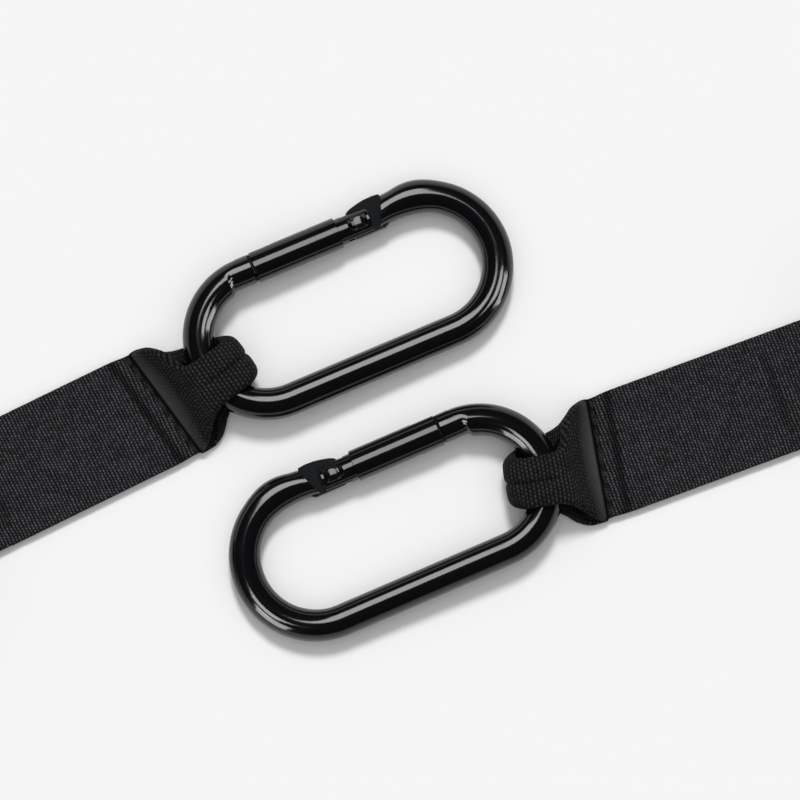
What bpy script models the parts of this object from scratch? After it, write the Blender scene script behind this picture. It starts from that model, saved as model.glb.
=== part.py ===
# A pair of gymnastic rings: each has an oval carabiner, a webbing strap and a wooden ring.
# Metres, +Z up. The pair lies on the plane z = 0. +X runs along the carabiners, from the left set
# to the right one, and +Y points to the side that the carabiners' gates are on.

import math

import bmesh
import bpy
import numpy as np
from mathutils import Matrix, Vector

MM = 0.001

# Layout of the pair
BOW_OFFSET = 21.3 * MM         # from the middle of the pair to each carabiner's strap-end bow
SET_SPACING = 69.2 * MM        # between the two carabiners, across the pair
STRAP_ANGLE = math.radians(3.0)      # the strap's lean from the carabiner's axis, away from the gate
EYE_ANGLE = math.radians(13.3)       # the webbing eye's place on the bow, away from the gate
SEAT_GAP = 0.3 * MM            # between pieces that rest on each other
FIT_GAP = 0.15 * MM            # round pins in their holes

# Carabiner, on the centre line of its bar
BAR_D = 10.0 * MM
BOW_R = 21.0 * MM              # the strap-end bow
HINGE_BOW_EXTRA = 1.0 * MM     # how much larger the hinge-end bow's radius is
BOW_SPACING = 55.0 * MM        # between the centres of the two bows
GATE_RISE = 0.4 * MM           # the gate's axis lies this far outside the strap-end bow's top
ARC_STEP = math.radians(10.0)  # one facet of a bow

# Nose: a turned-down stub, then a flat hook that catches the latch pin
NOSE_START = -0.9 * MM         # where the full bar ends, along the axis from the bow's centre
STUB_D = 9.4 * MM
STUB_LENGTH = 5.0 * MM
GATE_END_GAP = 1.2 * MM        # the dark line between the stub and the gate
HOOK_LENGTH = 7.1 * MM
HOOK_THICKNESS = 3.0 * MM
HOOK_BELOW = 2.2 * MM          # the hook's reach inside and outside the gate's axis
HOOK_ABOVE = 3.4 * MM
NOTCH_MARGIN = 0.4 * MM        # free room for the pin on each side of the notch
LATCH_PIN_D = 2.2 * MM
LATCH_PIN_SETBACK = 2.7 * MM   # the latch pin, back from the gate's nose end

# Gate and hinge
HINGE_SHOULDER = 6.9 * MM      # the full bar starts this far back from the hinge bow's centre
RIVET_SETBACK = 7.7 * MM       # the rivet, back from that shoulder
TONGUE_THICKNESS = 3.2 * MM
TONGUE_REACH = 3.0 * MM        # the tongue's flat end, past the rivet
TONGUE_INSIDE = 4.0 * MM       # its edges, inside and outside the gate's axis
TONGUE_OUTSIDE = 6.4 * MM
FORK_D = 8.6 * MM
FORK_END = 3.8 * MM            # the fork's square ends, past the rivet
FORK_DEPTH = 4.8 * MM          # the fork's slot, in from the rivet
FORK_NECK = 2.6 * MM           # the turned-down length before the slot
SLOT_CLEARANCE = 0.3 * MM      # on each side of the tongue and of the hook
HOOK_SLOT_EXTRA = 1.3 * MM     # free length in the gate's slot past the hook's tip
RIVET_D = 2.4 * MM
RIVET_HEAD_D = 3.6 * MM
RIVET_HEAD_H = 0.9 * MM
RIVET_RECESS_D = 5.3 * MM
RIVET_RECESS_DEPTH = 0.45 * MM

# Gate spring and its plunger, in a bore beside the gate's axis
BORE_D = 4.2 * MM
BORE_OFFSET = 1.4 * MM
BORE_WALL = 1.5 * MM           # between the bore's blind end and the slot for the hook
PLUNGER_D = 3.4 * MM
PLUNGER_LENGTH = 6.6 * MM
SPRING_WIRE = 0.6 * MM
SPRING_TURNS = 9

# Webbing
WEB_WIDTH = 38.0 * MM
WEB_THICKNESS = 1.5 * MM

# Eye round the carabiner: the webbing's edges are folded under, so the band is double there
EYE_BAND_WIDTH = 16.8 * MM
EYE_TIP_GAP = 5.1 * MM         # slack between the bar and the inside of the loop's tip
EYE_TIP_TAPER = 2.0 * MM       # the band is this much narrower at the tip
EYE_CROWN = 2.0 * MM           # the upper leg starts to fall here, past the bar's middle
EYE_TURN = 3.0 * MM            # the tip's turn starts here, on the bar's other side
EYE_FLARE_START = 5.8 * MM     # the band starts to widen here, past the bar's middle
EYE_FLARE_LENGTH = 7.2 * MM    # and has the strap's width after this length
EYE_LEG = 16.5 * MM            # from the bar's centre line to the seam
EYE_SHIFT = 2.6 * MM           # the seam's middle lies this far off the eye's axis, to the gate's side
EYE_OFFSET = 1.8 * MM          # and the band lies this far off it, away from the gate
EYE_CREASE = 0.7 * MM          # depth of the crease along the band's middle
EYE_CREASE_SHARE = 0.2         # half of its width, as a share of the band's half width
EYE_EDGE_ROLL = 1.3 * MM       # how far the band's edges roll down
EYE_COLUMNS = (0.25, 0.6, 0.9, 1.0)  # columns of the band's mesh, as shares of its half width
FLAP_LENGTH = 62.0 * MM        # the webbing folded back under the strap

# Strap that is put away, folded to and fro, and its keeper
RUN_LENGTH = 84.0 * MM         # from the seam to the folds
FOLD_LENGTH = 120.0 * MM
FOLD_LAYERS = 15
FOLD_GAP = 0.5 * MM            # between layers
KEEPER_WIDTH = 25.0 * MM
KEEPER_THICKNESS = 1.5 * MM

# Ring end of the strap
LEAD_LENGTH = 40.0 * MM
RING_FLAP_LENGTH = 30.0 * MM
RING_EYE_LEG = 36.0 * MM       # from the ring section's middle to that seam
RING_SECTION = 28.0 * MM
RING_BORE = 180.0 * MM         # the ring's inner diameter
RING_EYE_SLACK = 0.45 * MM     # between the ring and its webbing eye
RING_FACETS = 52               # round the ring, and round its section
RING_SIDES = 14

BAR_R = BAR_D / 2
HINGE_BOW_R = BOW_R + HINGE_BOW_EXTRA
HINGE_BOW_Y = HINGE_BOW_R - BOW_R
GATE_Y = BOW_R + GATE_RISE
STUB_END = NOSE_START + STUB_LENGTH
GATE_START = STUB_END + GATE_END_GAP
LATCH_PIN_X = GATE_START + LATCH_PIN_SETBACK
SHOULDER_X = BOW_SPACING - HINGE_SHOULDER
RIVET_X = SHOULDER_X - RIVET_SETBACK
SLOT_BOTTOM = RIVET_X - FORK_DEPTH
TONGUE_END = RIVET_X - TONGUE_REACH
LATCH_SLOT_END = STUB_END + HOOK_LENGTH + HOOK_SLOT_EXTRA
BORE_START = LATCH_SLOT_END + BORE_WALL
BORE_Y = GATE_Y - BORE_OFFSET
LAYER_PITCH = WEB_THICKNESS + FOLD_GAP
BAND_THICKNESS = 2 * WEB_THICKNESS
BAR_HEIGHT = BAND_THICKNESS + SEAT_GAP + BAR_R        # the bar's middle inside the webbing eye
RUN_HEIGHT = KEEPER_THICKNESS + SEAT_GAP + WEB_THICKNESS / 2   # middle of the strap's lowest layer
FLAP_HEIGHT = RUN_HEIGHT - WEB_THICKNESS - SEAT_GAP
EYE_SKEW = EYE_ANGLE - STRAP_ANGLE
RING_R = (RING_BORE + RING_SECTION) / 2               # the ring's centre line
RING_HEIGHT = WEB_THICKNESS + RING_EYE_SLACK + RING_SECTION / 2   # ring section's middle inside its eye
RING_SEAM_X = RUN_LENGTH + FOLD_LENGTH + LEAD_LENGTH
RING_SECTION_X = RING_SEAM_X + RING_EYE_LEG
TOP_LAYER = RUN_HEIGHT + (FOLD_LAYERS - 1) * LAYER_PITCH

# The carabiner tilts until its free end meets the floor, and so does the ring
EYE_REACH = BOW_R * math.cos(EYE_ANGLE)
CARABINER_TILT = math.asin((BAR_HEIGHT - BAR_R) / (EYE_REACH + BOW_SPACING + HINGE_BOW_R))
RING_TILT = math.asin((RING_HEIGHT - RING_SECTION / 2) / (2 * RING_R))
BOW_HEIGHT = BAR_HEIGHT - EYE_REACH * math.sin(CARABINER_TILT)

# The pair's middle lies halfway between the two rings
SEAM_REACH = BOW_R + EYE_LEG
SEAM_Y = EYE_SHIFT * math.cos(EYE_ANGLE) - SEAM_REACH * math.sin(EYE_ANGLE)
RING_CENTRE_X = RING_SECTION_X + RING_R * math.cos(RING_TILT)
RING_DROP = SEAM_Y - RING_CENTRE_X * math.sin(STRAP_ANGLE)


# Scene helpers

def clear_scene():
    for obj in list(bpy.data.objects):
        bpy.data.objects.remove(obj, do_unlink=True)
    for collection in list(bpy.data.collections):
        bpy.data.collections.remove(collection)


def new_collection(name):
    collection = bpy.data.collections.new(name)
    bpy.context.scene.collection.children.link(collection)
    return collection


def make_material(name, colour, roughness, metallic):
    material = bpy.data.materials.new(name)
    material.use_nodes = True
    shader = material.node_tree.nodes["Principled BSDF"]
    shader.inputs["Base Color"].default_value = (*colour, 1.0)
    shader.inputs["Roughness"].default_value = roughness
    shader.inputs["Metallic"].default_value = metallic
    return material


clear_scene()
PARTS = new_collection("gymnastic_rings")
CUTTERS = new_collection("cutters")


def frame(name, location, rotation=(0.0, 0.0, 0.0), parent=None):
    # an empty that carries the pieces of one sub-assembly
    empty = bpy.data.objects.new(name, None)
    empty.empty_display_size = 0.01
    empty.location = location
    empty.rotation_euler = rotation
    empty.parent = parent
    PARTS.objects.link(empty)
    return empty


def add(name, mesh, parent, location=(0.0, 0.0, 0.0), rotation=(0.0, 0.0, 0.0), material=None):
    obj = bpy.data.objects.new(name, mesh)
    obj.parent = parent
    obj.location = location
    obj.rotation_euler = rotation
    PARTS.objects.link(obj)
    if material is not None:
        mesh.materials.append(material)
    return obj


def as_cutter(obj):
    PARTS.objects.unlink(obj)
    CUTTERS.objects.link(obj)
    obj.hide_render = True
    obj.display_type = "WIRE"
    return obj


def combine(obj, operation, *others):
    for other in others:
        modifier = obj.modifiers.new(operation.lower() + "_" + other.name, "BOOLEAN")
        modifier.operation = operation
        modifier.object = as_cutter(other)


def smooth(obj, angle=35.0):
    obj.data.shade_smooth()
    obj.data.set_sharp_from_angle(angle=math.radians(angle))


# Shape helpers

def box_mesh(name, low, high):
    mesh = bpy.data.meshes.new(name)
    shape = bmesh.new()
    low, high = Vector(low), Vector(high)
    size, middle = high - low, (high + low) / 2
    matrix = Matrix.Translation(middle) @ Matrix.Diagonal((*size, 1.0))
    bmesh.ops.create_cube(shape, size=1.0, matrix=matrix)
    shape.to_mesh(mesh)
    shape.free()
    return mesh


def rod_mesh(name, radius, start, end, axis="Z", sides=16):
    # a plain cylinder between two places on one axis
    mesh = bpy.data.meshes.new(name)
    shape = bmesh.new()
    bmesh.ops.create_cone(shape, cap_ends=True, segments=sides, radius1=radius, radius2=radius,
                          depth=end - start)
    turn = Matrix.Rotation(math.pi / 2, 4, "Y") if axis == "X" else Matrix.Identity(4)
    shift = Matrix.Translation((0.0, 0.0, (start + end) / 2))
    bmesh.ops.transform(shape, matrix=turn @ shift, verts=shape.verts)
    shape.to_mesh(mesh)
    shape.free()
    return mesh


def turned(name, profile, parent, location, rotation, material, sides=16):
    # a profile of (radius, height), top to bottom, turned round the object's own Z axis
    mesh = bpy.data.meshes.new(name)
    points = [(radius, 0.0, height) for radius, height in profile]
    mesh.from_pydata(points, [(i, i + 1) for i in range(len(points) - 1)], [])
    obj = add(name, mesh, parent, location, rotation, material)
    screw = obj.modifiers.new("turn", "SCREW")
    screw.steps = screw.render_steps = sides
    screw.use_merge_vertices = True
    screw.merge_threshold = 0.00001
    return obj


def plate(name, outlines, thickness, parent):
    # closed outlines in the XY plane, given the thickness evenly about z = 0; inner ones are holes
    curve = bpy.data.curves.new(name, "CURVE")
    curve.dimensions = "2D"
    curve.fill_mode = "BOTH"
    curve.extrude = thickness / 2
    for outline in outlines:
        spline = curve.splines.new("POLY")
        spline.points.add(len(outline) - 1)
        for point, (x, y) in zip(spline.points, outline):
            point.co = (x, y, 0.0, 1.0)
        spline.use_cyclic_u = True
    return welded(curve_object(name, curve, parent))


def curve_object(name, curve, parent):
    obj = bpy.data.objects.new(name, curve)
    obj.parent = parent
    PARTS.objects.link(obj)
    return obj


def swept(name, points, radius, resolution, parent):
    # a round bar or wire along a list of points
    curve = bpy.data.curves.new(name, "CURVE")
    curve.dimensions = "3D"
    curve.bevel_depth = radius
    curve.bevel_resolution = resolution
    curve.use_fill_caps = True
    spline = curve.splines.new("POLY")
    spline.points.add(len(points) - 1)
    for place, point in zip(spline.points, points):
        place.co = (*point, 1.0)
    return welded(curve_object(name, curve, parent))


def welded(source):
    # the curve object as one closed mesh in the same place, under the same name
    bpy.context.view_layer.update()
    evaluated = source.evaluated_get(bpy.context.evaluated_depsgraph_get())
    mesh = bpy.data.meshes.new_from_object(evaluated)
    shape = bmesh.new()
    shape.from_mesh(mesh)
    bmesh.ops.remove_doubles(shape, verts=shape.verts, dist=0.000005)
    bmesh.ops.recalc_face_normals(shape, faces=shape.faces)
    shape.to_mesh(mesh)
    shape.free()
    name, parent, matrix = source.name, source.parent, source.matrix_local.copy()
    bpy.data.objects.remove(source, do_unlink=True)
    obj = add(name, mesh, parent)
    obj.matrix_local = matrix
    return obj


def arc(centre, radius, start, end, step=ARC_STEP):
    # points from one angle to another, both ends included
    count = max(2, math.ceil(abs(end - start) / step) + 1)
    return [(centre[0] + radius * math.cos(a), centre[1] + radius * math.sin(a))
            for a in np.linspace(start, end, count)]


def ribbon(name, middle, up, thickness, parent, material):
    # webbing as a closed loft: middle and up are (stations, columns, 3) arrays of places and normals,
    # and the thickness is one number or a (stations, columns) array
    half = up * (np.broadcast_to(thickness, middle.shape[:2])[:, :, None] / 2)
    rows, columns = middle.shape[:2]
    points = np.concatenate([(middle + half).reshape(-1, 3), (middle - half).reshape(-1, 3)])
    top = np.arange(rows * columns).reshape(rows, columns)
    low = top + rows * columns

    def strip(a, b):
        return np.stack([a[:-1], a[1:], b[1:], b[:-1]], axis=-1).reshape(-1, 4)

    faces = [strip(top[:, i], top[:, i + 1]) for i in range(columns - 1)]
    faces += [strip(low[:, i + 1], low[:, i]) for i in range(columns - 1)]
    faces += [strip(top[:, -1], low[:, -1]), strip(low[:, 0], top[:, 0])]
    faces += [strip(top[0], low[0]), strip(low[-1], top[-1])]
    mesh = bpy.data.meshes.new(name)
    mesh.from_pydata(points.tolist(), [], np.concatenate(faces).tolist())
    shape = bmesh.new()
    shape.from_mesh(mesh)
    bmesh.ops.recalc_face_normals(shape, faces=shape.faces)
    shape.to_mesh(mesh)
    shape.free()
    obj = add(name, mesh, parent, material=material)
    smooth(obj)
    return obj


def path_normals(x, z):
    # unit normals, to the left of the way, of a path in the XZ plane
    way = np.stack([np.gradient(x), np.gradient(z)], axis=-1)
    way /= np.linalg.norm(way, axis=1, keepdims=True)
    return np.stack([-way[:, 1], np.zeros(len(x)), way[:, 0]], axis=-1)


def path_ribbon(name, path, parent, material, width=WEB_WIDTH):
    # webbing of even width along a path of (x, z) places, square at both ends
    x, z = np.array(path).T
    across = np.array([-width / 2, width / 2])
    middle = np.stack(np.broadcast_arrays(x[:, None], across[None, :], z[:, None]), axis=-1)
    up = np.repeat(path_normals(x, z)[:, None, :], 2, axis=1)
    return ribbon(name, middle, up, WEB_THICKNESS, parent, material)


def ease(u):
    # 0 to 1 with level ends
    u = np.clip(u, 0.0, 1.0)
    return u * u * (3.0 - 2.0 * u)


# Carabiner, in its own frame: the strap-end bow's centre is the origin, +X points to the hinge-end
# bow, +Y to the gate, and the bar's centre line lies in z = 0

def bar_path():
    lean = math.asin(HINGE_SHOULDER / HINGE_BOW_R)
    nose = math.asin(-NOSE_START / BOW_R)
    bow = arc((BOW_SPACING, HINGE_BOW_Y), HINGE_BOW_R, math.pi / 2 + lean, -math.pi / 2)
    bow += arc((0.0, 0.0), BOW_R, -math.pi / 2, -3 * math.pi / 2 + nose)
    return [(x, y, 0.0) for x, y in bow]


def hook_outline():
    start = NOSE_START
    tip = STUB_END + HOOK_LENGTH
    low, high = GATE_Y - HOOK_BELOW, GATE_Y + HOOK_ABOVE
    notch = LATCH_PIN_D / 2 + NOTCH_MARGIN
    roof = GATE_Y + LATCH_PIN_D / 2 + SEAT_GAP
    corner = HOOK_THICKNESS / 4
    return [(start, low), (LATCH_PIN_X - notch, low), (LATCH_PIN_X - notch, roof),
            (LATCH_PIN_X + notch, roof), (LATCH_PIN_X + notch, low), (tip, low),
            (tip, high - corner), (tip - corner, high), (start, high)]


def tongue_outline():
    low, high = GATE_Y - TONGUE_INSIDE, GATE_Y + TONGUE_OUTSIDE
    round_r = TONGUE_OUTSIDE / 3
    small = TONGUE_INSIDE / 8
    back = SHOULDER_X + BAR_R / 3
    tip = arc((TONGUE_END + round_r, high - round_r), round_r, math.pi / 2, math.pi, math.radians(30))
    return [(back, low + BAR_R / 4), (SHOULDER_X, low), (TONGUE_END + small, low),
            (TONGUE_END, low + small)] + tip[::-1] + [(SHOULDER_X - small, high),
                                                      (back, GATE_Y + BAR_R)]


def rivet_hole():
    return arc((RIVET_X, GATE_Y), RIVET_D / 2 + FIT_GAP, 0.0, 2 * math.pi, math.radians(24))[:-1]


def build_body(side, parent, steel):
    body = swept(side + "_carabiner_body", bar_path(), BAR_R, 6, parent)
    body.data.materials.append(steel)
    stub = add(side + "_nose_stub", rod_mesh("nose_stub", STUB_D / 2, NOSE_START - STUB_LENGTH / 4,
                                            STUB_END, "X"), parent, (0.0, GATE_Y, 0.0))
    hook = plate(side + "_nose_hook", [hook_outline()], HOOK_THICKNESS, parent)
    tongue = plate(side + "_hinge_tongue", [tongue_outline(), rivet_hole()], TONGUE_THICKNESS, parent)
    combine(body, "UNION", stub, hook, tongue)
    smooth(body)
    return body


def build_gate(side, parent, steel):
    # turned about the gate's axis from the rivet, then slotted, bored and drilled
    pivot = (RIVET_X, GATE_Y, 0.0)
    nose, neck = GATE_START - RIVET_X, -FORK_DEPTH - FORK_NECK
    edge = BAR_R / 10
    profile = [(0.0, FORK_END), (FORK_D / 2, FORK_END), (FORK_D / 2, neck), (BAR_R, neck - edge),
               (BAR_R, nose + edge), (BAR_R - edge, nose), (0.0, nose)]
    gate = turned(side + "_gate", profile, parent, pivot, (0.0, math.pi / 2, 0.0), steel, 20)
    fork_half = TONGUE_THICKNESS / 2 + SLOT_CLEARANCE
    hook_half = HOOK_THICKNESS / 2 + SLOT_CLEARANCE
    past = 2 * BAR_R
    recess = FORK_D / 2 - RIVET_RECESS_DEPTH
    fork = add(side + "_fork_slot", box_mesh("fork_slot", (SLOT_BOTTOM, GATE_Y - past, -fork_half),
               (RIVET_X + past, GATE_Y + past, fork_half)), parent)
    latch = add(side + "_latch_slot", box_mesh("latch_slot",
                (GATE_START - past, GATE_Y - HOOK_BELOW - 2 * SEAT_GAP, -hook_half),
                (LATCH_SLOT_END, GATE_Y + past, hook_half)), parent)
    bore = add(side + "_spring_bore", rod_mesh("spring_bore", BORE_D / 2, BORE_START,
               SLOT_BOTTOM + SLOT_CLEARANCE, "X"), parent, (0.0, BORE_Y, 0.0))
    rivet = add(side + "_rivet_hole", rod_mesh("rivet_hole", RIVET_D / 2 + FIT_GAP, -past, past),
                parent, pivot)
    pin = add(side + "_latch_pin_hole", rod_mesh("latch_pin_hole", LATCH_PIN_D / 2 + FIT_GAP, -past,
              past), parent, (LATCH_PIN_X, GATE_Y, 0.0))
    recesses = [add(side + "_rivet_recess_" + end, rod_mesh("rivet_recess", RIVET_RECESS_D / 2, *span,
                    sides=20), parent, pivot)
                for end, span in (("top", (recess, past)), ("bottom", (-past, -recess)))]
    combine(gate, "DIFFERENCE", fork, latch, bore, rivet, pin, *recesses)
    smooth(gate)
    return gate


def build_rivet(side, parent, steel):
    # a shank with a low dome at each end, seated in the fork's recesses
    seat = FORK_D / 2 - RIVET_RECESS_DEPTH + SEAT_GAP / 2
    head, shank = RIVET_HEAD_D / 2, RIVET_D / 2
    dome = [(head * math.sin(a), seat + RIVET_HEAD_H * math.cos(a))
            for a in np.linspace(0.0, math.pi / 2, 5)]
    upper = dome + [(shank, seat)]
    profile = upper + [(radius, -height) for radius, height in reversed(upper)]
    rivet = turned(side + "_hinge_rivet", profile, parent, (RIVET_X, GATE_Y, 0.0), (0.0, 0.0, 0.0),
                   steel)
    smooth(rivet)
    return rivet


def build_latch_pin(side, parent, steel):
    half = math.sqrt(BAR_R ** 2 - (LATCH_PIN_D / 2) ** 2)
    pin = add(side + "_latch_pin", rod_mesh("latch_pin", LATCH_PIN_D / 2, -half, half), parent,
              (LATCH_PIN_X, GATE_Y, 0.0), material=steel)
    smooth(pin)
    return pin


def build_plunger(side, parent, steel):
    # a short pin with a round tip that bears on the tongue's flat end
    radius = PLUNGER_D / 2
    tip = [(radius * math.sin(a), radius * math.cos(a) - radius) for a in np.linspace(0, math.pi / 2, 5)]
    profile = tip + [(radius, -PLUNGER_LENGTH), (0.0, -PLUNGER_LENGTH)]
    place = (TONGUE_END - SEAT_GAP, BORE_Y, 0.0)
    plunger = turned(side + "_spring_plunger", profile, parent, place, (0.0, math.pi / 2, 0.0), steel, 12)
    smooth(plunger)
    return plunger


def build_spring(side, parent, steel):
    # a helix between the bore's blind end and the plunger
    radius = BORE_D / 2 - SEAT_GAP - SPRING_WIRE / 2
    start = BORE_START + SEAT_GAP + SPRING_WIRE / 2
    end = TONGUE_END - 2 * SEAT_GAP - PLUNGER_LENGTH - SPRING_WIRE / 2
    turn = np.linspace(0.0, SPRING_TURNS * 2 * math.pi, SPRING_TURNS * 8 + 1)
    x = np.linspace(start, end, len(turn))
    points = list(zip(x, BORE_Y + radius * np.cos(turn), radius * np.sin(turn)))
    spring = swept(side + "_gate_spring", points, SPRING_WIRE / 2, 1, parent)
    spring.data.materials.append(steel)
    print(side, "gate spring: least gap between turns",
          round(((end - start) / SPRING_TURNS - SPRING_WIRE) / MM, 2), "mm")
    smooth(spring)
    return spring


# Webbing round the carabiner. The eye's frame has its origin on the floor under the bar, +X to the
# seam, and hand = +1 where local +Y is the gate's side or -1 where it is the spine's side

def eye_path():
    # the loop's middle line in the XZ plane, from the seam over the bar, round the tip and back
    top = BAR_HEIGHT + BAR_R + SEAT_GAP + BAND_THICKNESS / 2
    low = BAND_THICKNESS / 2
    tip_x = -(BAR_R + EYE_TIP_GAP + BAND_THICKNESS / 2)
    seam = EYE_LEG - SEAT_GAP / 2
    turn_x = -EYE_TURN
    u = np.linspace(1.0, 0.0, 11)
    x = [EYE_CROWN + (seam - EYE_CROWN) * u, np.array([(EYE_CROWN + turn_x) / 2])]
    z = [top + (RUN_HEIGHT - top) * ease(u), np.array([top])]
    a = np.linspace(math.pi / 2, 3 * math.pi / 2, 11)
    x.append(turn_x + (turn_x - tip_x) * np.cos(a))
    z.append((top + low) / 2 + (top - low) / 2 * np.sin(a))
    back = np.linspace(0.0, 1.0, 9)[1:]
    x.append(turn_x + (seam - turn_x) * back)
    z.append(low + (FLAP_HEIGHT - low) * ease((x[-1] - EYE_CROWN) / (seam - EYE_CROWN)))
    return np.concatenate(x), np.concatenate(z)


def build_eye(side, parent, hand, webbing):
    x, z = eye_path()
    flare = ease((x - EYE_FLARE_START) / EYE_FLARE_LENGTH)
    tip = ease((-x - BAR_R) / (EYE_TIP_GAP + BAND_THICKNESS / 2))
    seam_width = WEB_WIDTH / math.cos(EYE_SKEW)
    width = EYE_BAND_WIDTH + (seam_width - EYE_BAND_WIDTH) * flare - EYE_TIP_TAPER * tip
    thickness = BAND_THICKNESS + (WEB_THICKNESS - BAND_THICKNESS) * ease((x - BAR_R) / (EYE_LEG - BAR_R))
    across = np.array([-share for share in reversed(EYE_COLUMNS)] + [0.0, *EYE_COLUMNS])
    y = width[:, None] / 2 * across + (EYE_SHIFT * flare - EYE_OFFSET * (1.0 - flare))[:, None]
    normals = path_normals(x, z)
    # the path runs from the seam to the tip over the bar, so its left-hand normal points inwards
    over = ease((z - BAND_THICKNESS / 2) / BAR_R)[:, None]
    roll = EYE_EDGE_ROLL * np.abs(across) ** 4
    crease = EYE_CREASE * np.exp(-(across / EYE_CREASE_SHARE) ** 2)
    # the folded band loses height at its edges and its crease; halfway along the flare, where the
    # webbing is single, its edges bend down by the whole roll
    thinner = (roll + crease) * (1.0 - flare)[:, None] * over
    droop = 4.0 * roll * (flare * (1.0 - flare))[:, None] * over
    middle = np.stack(np.broadcast_arrays(x[:, None], hand * y, z[:, None]), axis=-1)
    middle = middle + normals[:, None, :] * (thinner / 2 + droop)[:, :, None]
    up = np.repeat(-normals[:, None, :], len(across), axis=1)
    return ribbon(side + "_carabiner_eye", middle, up, thickness[:, None] - thinner, parent, webbing)


def skewed_strip(name, length, height, parent, hand, webbing):
    # flat webbing from the slanting seam to a square end
    gap = SEAT_GAP / 2 / math.cos(EYE_SKEW)
    y = np.array([-WEB_WIDTH / 2, WEB_WIDTH / 2])
    start = y * math.tan(EYE_SKEW) + gap
    share = np.linspace(0.0, 1.0, 5)[:, None]
    x = start + (length - start) * share
    middle = np.stack(np.broadcast_arrays(x, hand * y, height), axis=-1)
    up = np.broadcast_to(np.array([0.0, 0.0, 1.0]), middle.shape)
    return ribbon(name, middle, up, WEB_THICKNESS, parent, webbing)


# Webbing that is put away. The strap's frame has its origin on the floor under the seam's middle
# and +X along the strap, to the ring

def hank_path():
    # straight layers joined by half-round folds, from the lowest layer to the top one
    bend = LAYER_PITCH / 2
    near, far = RUN_LENGTH + SEAT_GAP + WEB_THICKNESS, RUN_LENGTH + FOLD_LENGTH - WEB_THICKNESS - bend
    path = [(RUN_LENGTH + SEAT_GAP / 2, RUN_HEIGHT)]
    for layer in range(FOLD_LAYERS - 1):
        height = RUN_HEIGHT + layer * LAYER_PITCH
        outward = layer % 2 == 0
        centre = (far if outward else near + bend, height + bend)
        half_turn = (-math.pi / 2, math.pi / 2) if outward else (3 * math.pi / 2, math.pi / 2)
        path += arc(centre, bend, *half_turn, math.radians(45))
    path.append((RUN_LENGTH + FOLD_LENGTH - SEAT_GAP / 2, TOP_LAYER))
    return path


def path_length(path):
    return float(np.linalg.norm(np.diff(np.array(path), axis=0), axis=1).sum())


def build_keeper(side, parent, cloth):
    # a closed band round the folds, at their middle
    inner = (WEB_WIDTH / 2 + SEAT_GAP, KEEPER_THICKNESS, TOP_LAYER + WEB_THICKNESS / 2 + SEAT_GAP)
    outer = (inner[0] + KEEPER_THICKNESS, 0.0, inner[2] + KEEPER_THICKNESS)
    middle = RUN_LENGTH + FOLD_LENGTH / 2
    keeper = add(side + "_hank_keeper", box_mesh("hank_keeper",
                 (middle - KEEPER_WIDTH / 2, -outer[0], outer[1]),
                 (middle + KEEPER_WIDTH / 2, outer[0], outer[2])), parent, material=cloth)
    opening = add(side + "_keeper_opening", box_mesh("keeper_opening",
                  (middle - KEEPER_WIDTH, -inner[0], inner[1]),
                  (middle + KEEPER_WIDTH, inner[0], inner[2])), parent)
    combine(keeper, "DIFFERENCE", opening)
    return keeper


# Ring end

def lead_path(start, end, drop):
    # the strap comes down from the top layer to the ring's seam
    foot = RING_HEIGHT + (WEB_THICKNESS + SEAT_GAP) / 2
    begin = RUN_LENGTH + FOLD_LENGTH
    x = np.linspace(start, end, 9)
    z = TOP_LAYER + (foot - TOP_LAYER) * ease((x - begin) / LEAD_LENGTH) - drop
    return list(zip(x, z))


def build_ring_eye(side, parent, webbing):
    # from the seam round the ring's section and back; its edges follow the ring's curve
    radius = RING_SECTION / 2 + RING_EYE_SLACK + WEB_THICKNESS / 2
    seam = RING_SEAM_X + SEAT_GAP / 2
    half_gap = (WEB_THICKNESS + SEAT_GAP) / 2
    lean = math.acos((radius - half_gap) / (RING_SECTION_X - seam))
    a = np.linspace(math.pi - lean, lean - math.pi, 21)
    y = np.linspace(-WEB_WIDTH / 2, WEB_WIDTH / 2, 5)
    # the ring's centre line curves away at the band's edges, and so does the band, but only on the
    # side away from the seam
    mouth = y ** 2 / (2 * RING_R)
    far_share = ease(0.5 + 2.0 * np.cos(a))[:, None]
    x = RING_SECTION_X + radius * np.cos(a)[:, None] + mouth * far_share
    z = RING_HEIGHT + radius * np.sin(a)[:, None] + 0.0 * mouth
    leg = np.linspace(0.0, 1.0, 4)[:-1, None]
    upper_x, lower_x = seam + (x[0] - seam) * leg, seam + (x[-1] - seam) * leg[::-1]
    upper_z = RING_HEIGHT + half_gap + (z[0] - RING_HEIGHT - half_gap) * leg
    lower_z = RING_HEIGHT - half_gap + (z[-1] - RING_HEIGHT + half_gap) * leg[::-1]
    x, z = np.concatenate([upper_x, x, lower_x]), np.concatenate([upper_z, z, lower_z])
    middle = np.stack(np.broadcast_arrays(x, y[None, :], z), axis=-1)
    normals = path_normals(x[:, 2], z[:, 2])
    normals[0], normals[-1] = (0.0, 0.0, 1.0), (0.0, 0.0, -1.0)
    up = np.repeat(normals[:, None, :], len(y), axis=1)
    return ribbon(side + "_ring_eye", middle, up, WEB_THICKNESS, parent, webbing)


def build_ring(side, parent, wood):
    bpy.ops.mesh.primitive_torus_add(major_segments=RING_FACETS, minor_segments=RING_SIDES,
                                     major_radius=RING_R, minor_radius=RING_SECTION / 2)
    ring = bpy.context.object
    ring.name = side + "_wooden_ring"
    for collection in list(ring.users_collection):
        collection.objects.unlink(ring)
    PARTS.objects.link(ring)
    ring.parent = parent
    ring.location = (RING_CENTRE_X, 0.0, RING_HEIGHT - RING_R * math.sin(RING_TILT))
    ring.rotation_euler = (0.0, RING_TILT, 0.0)
    ring.data.materials.append(wood)
    smooth(ring)
    return ring


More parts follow.
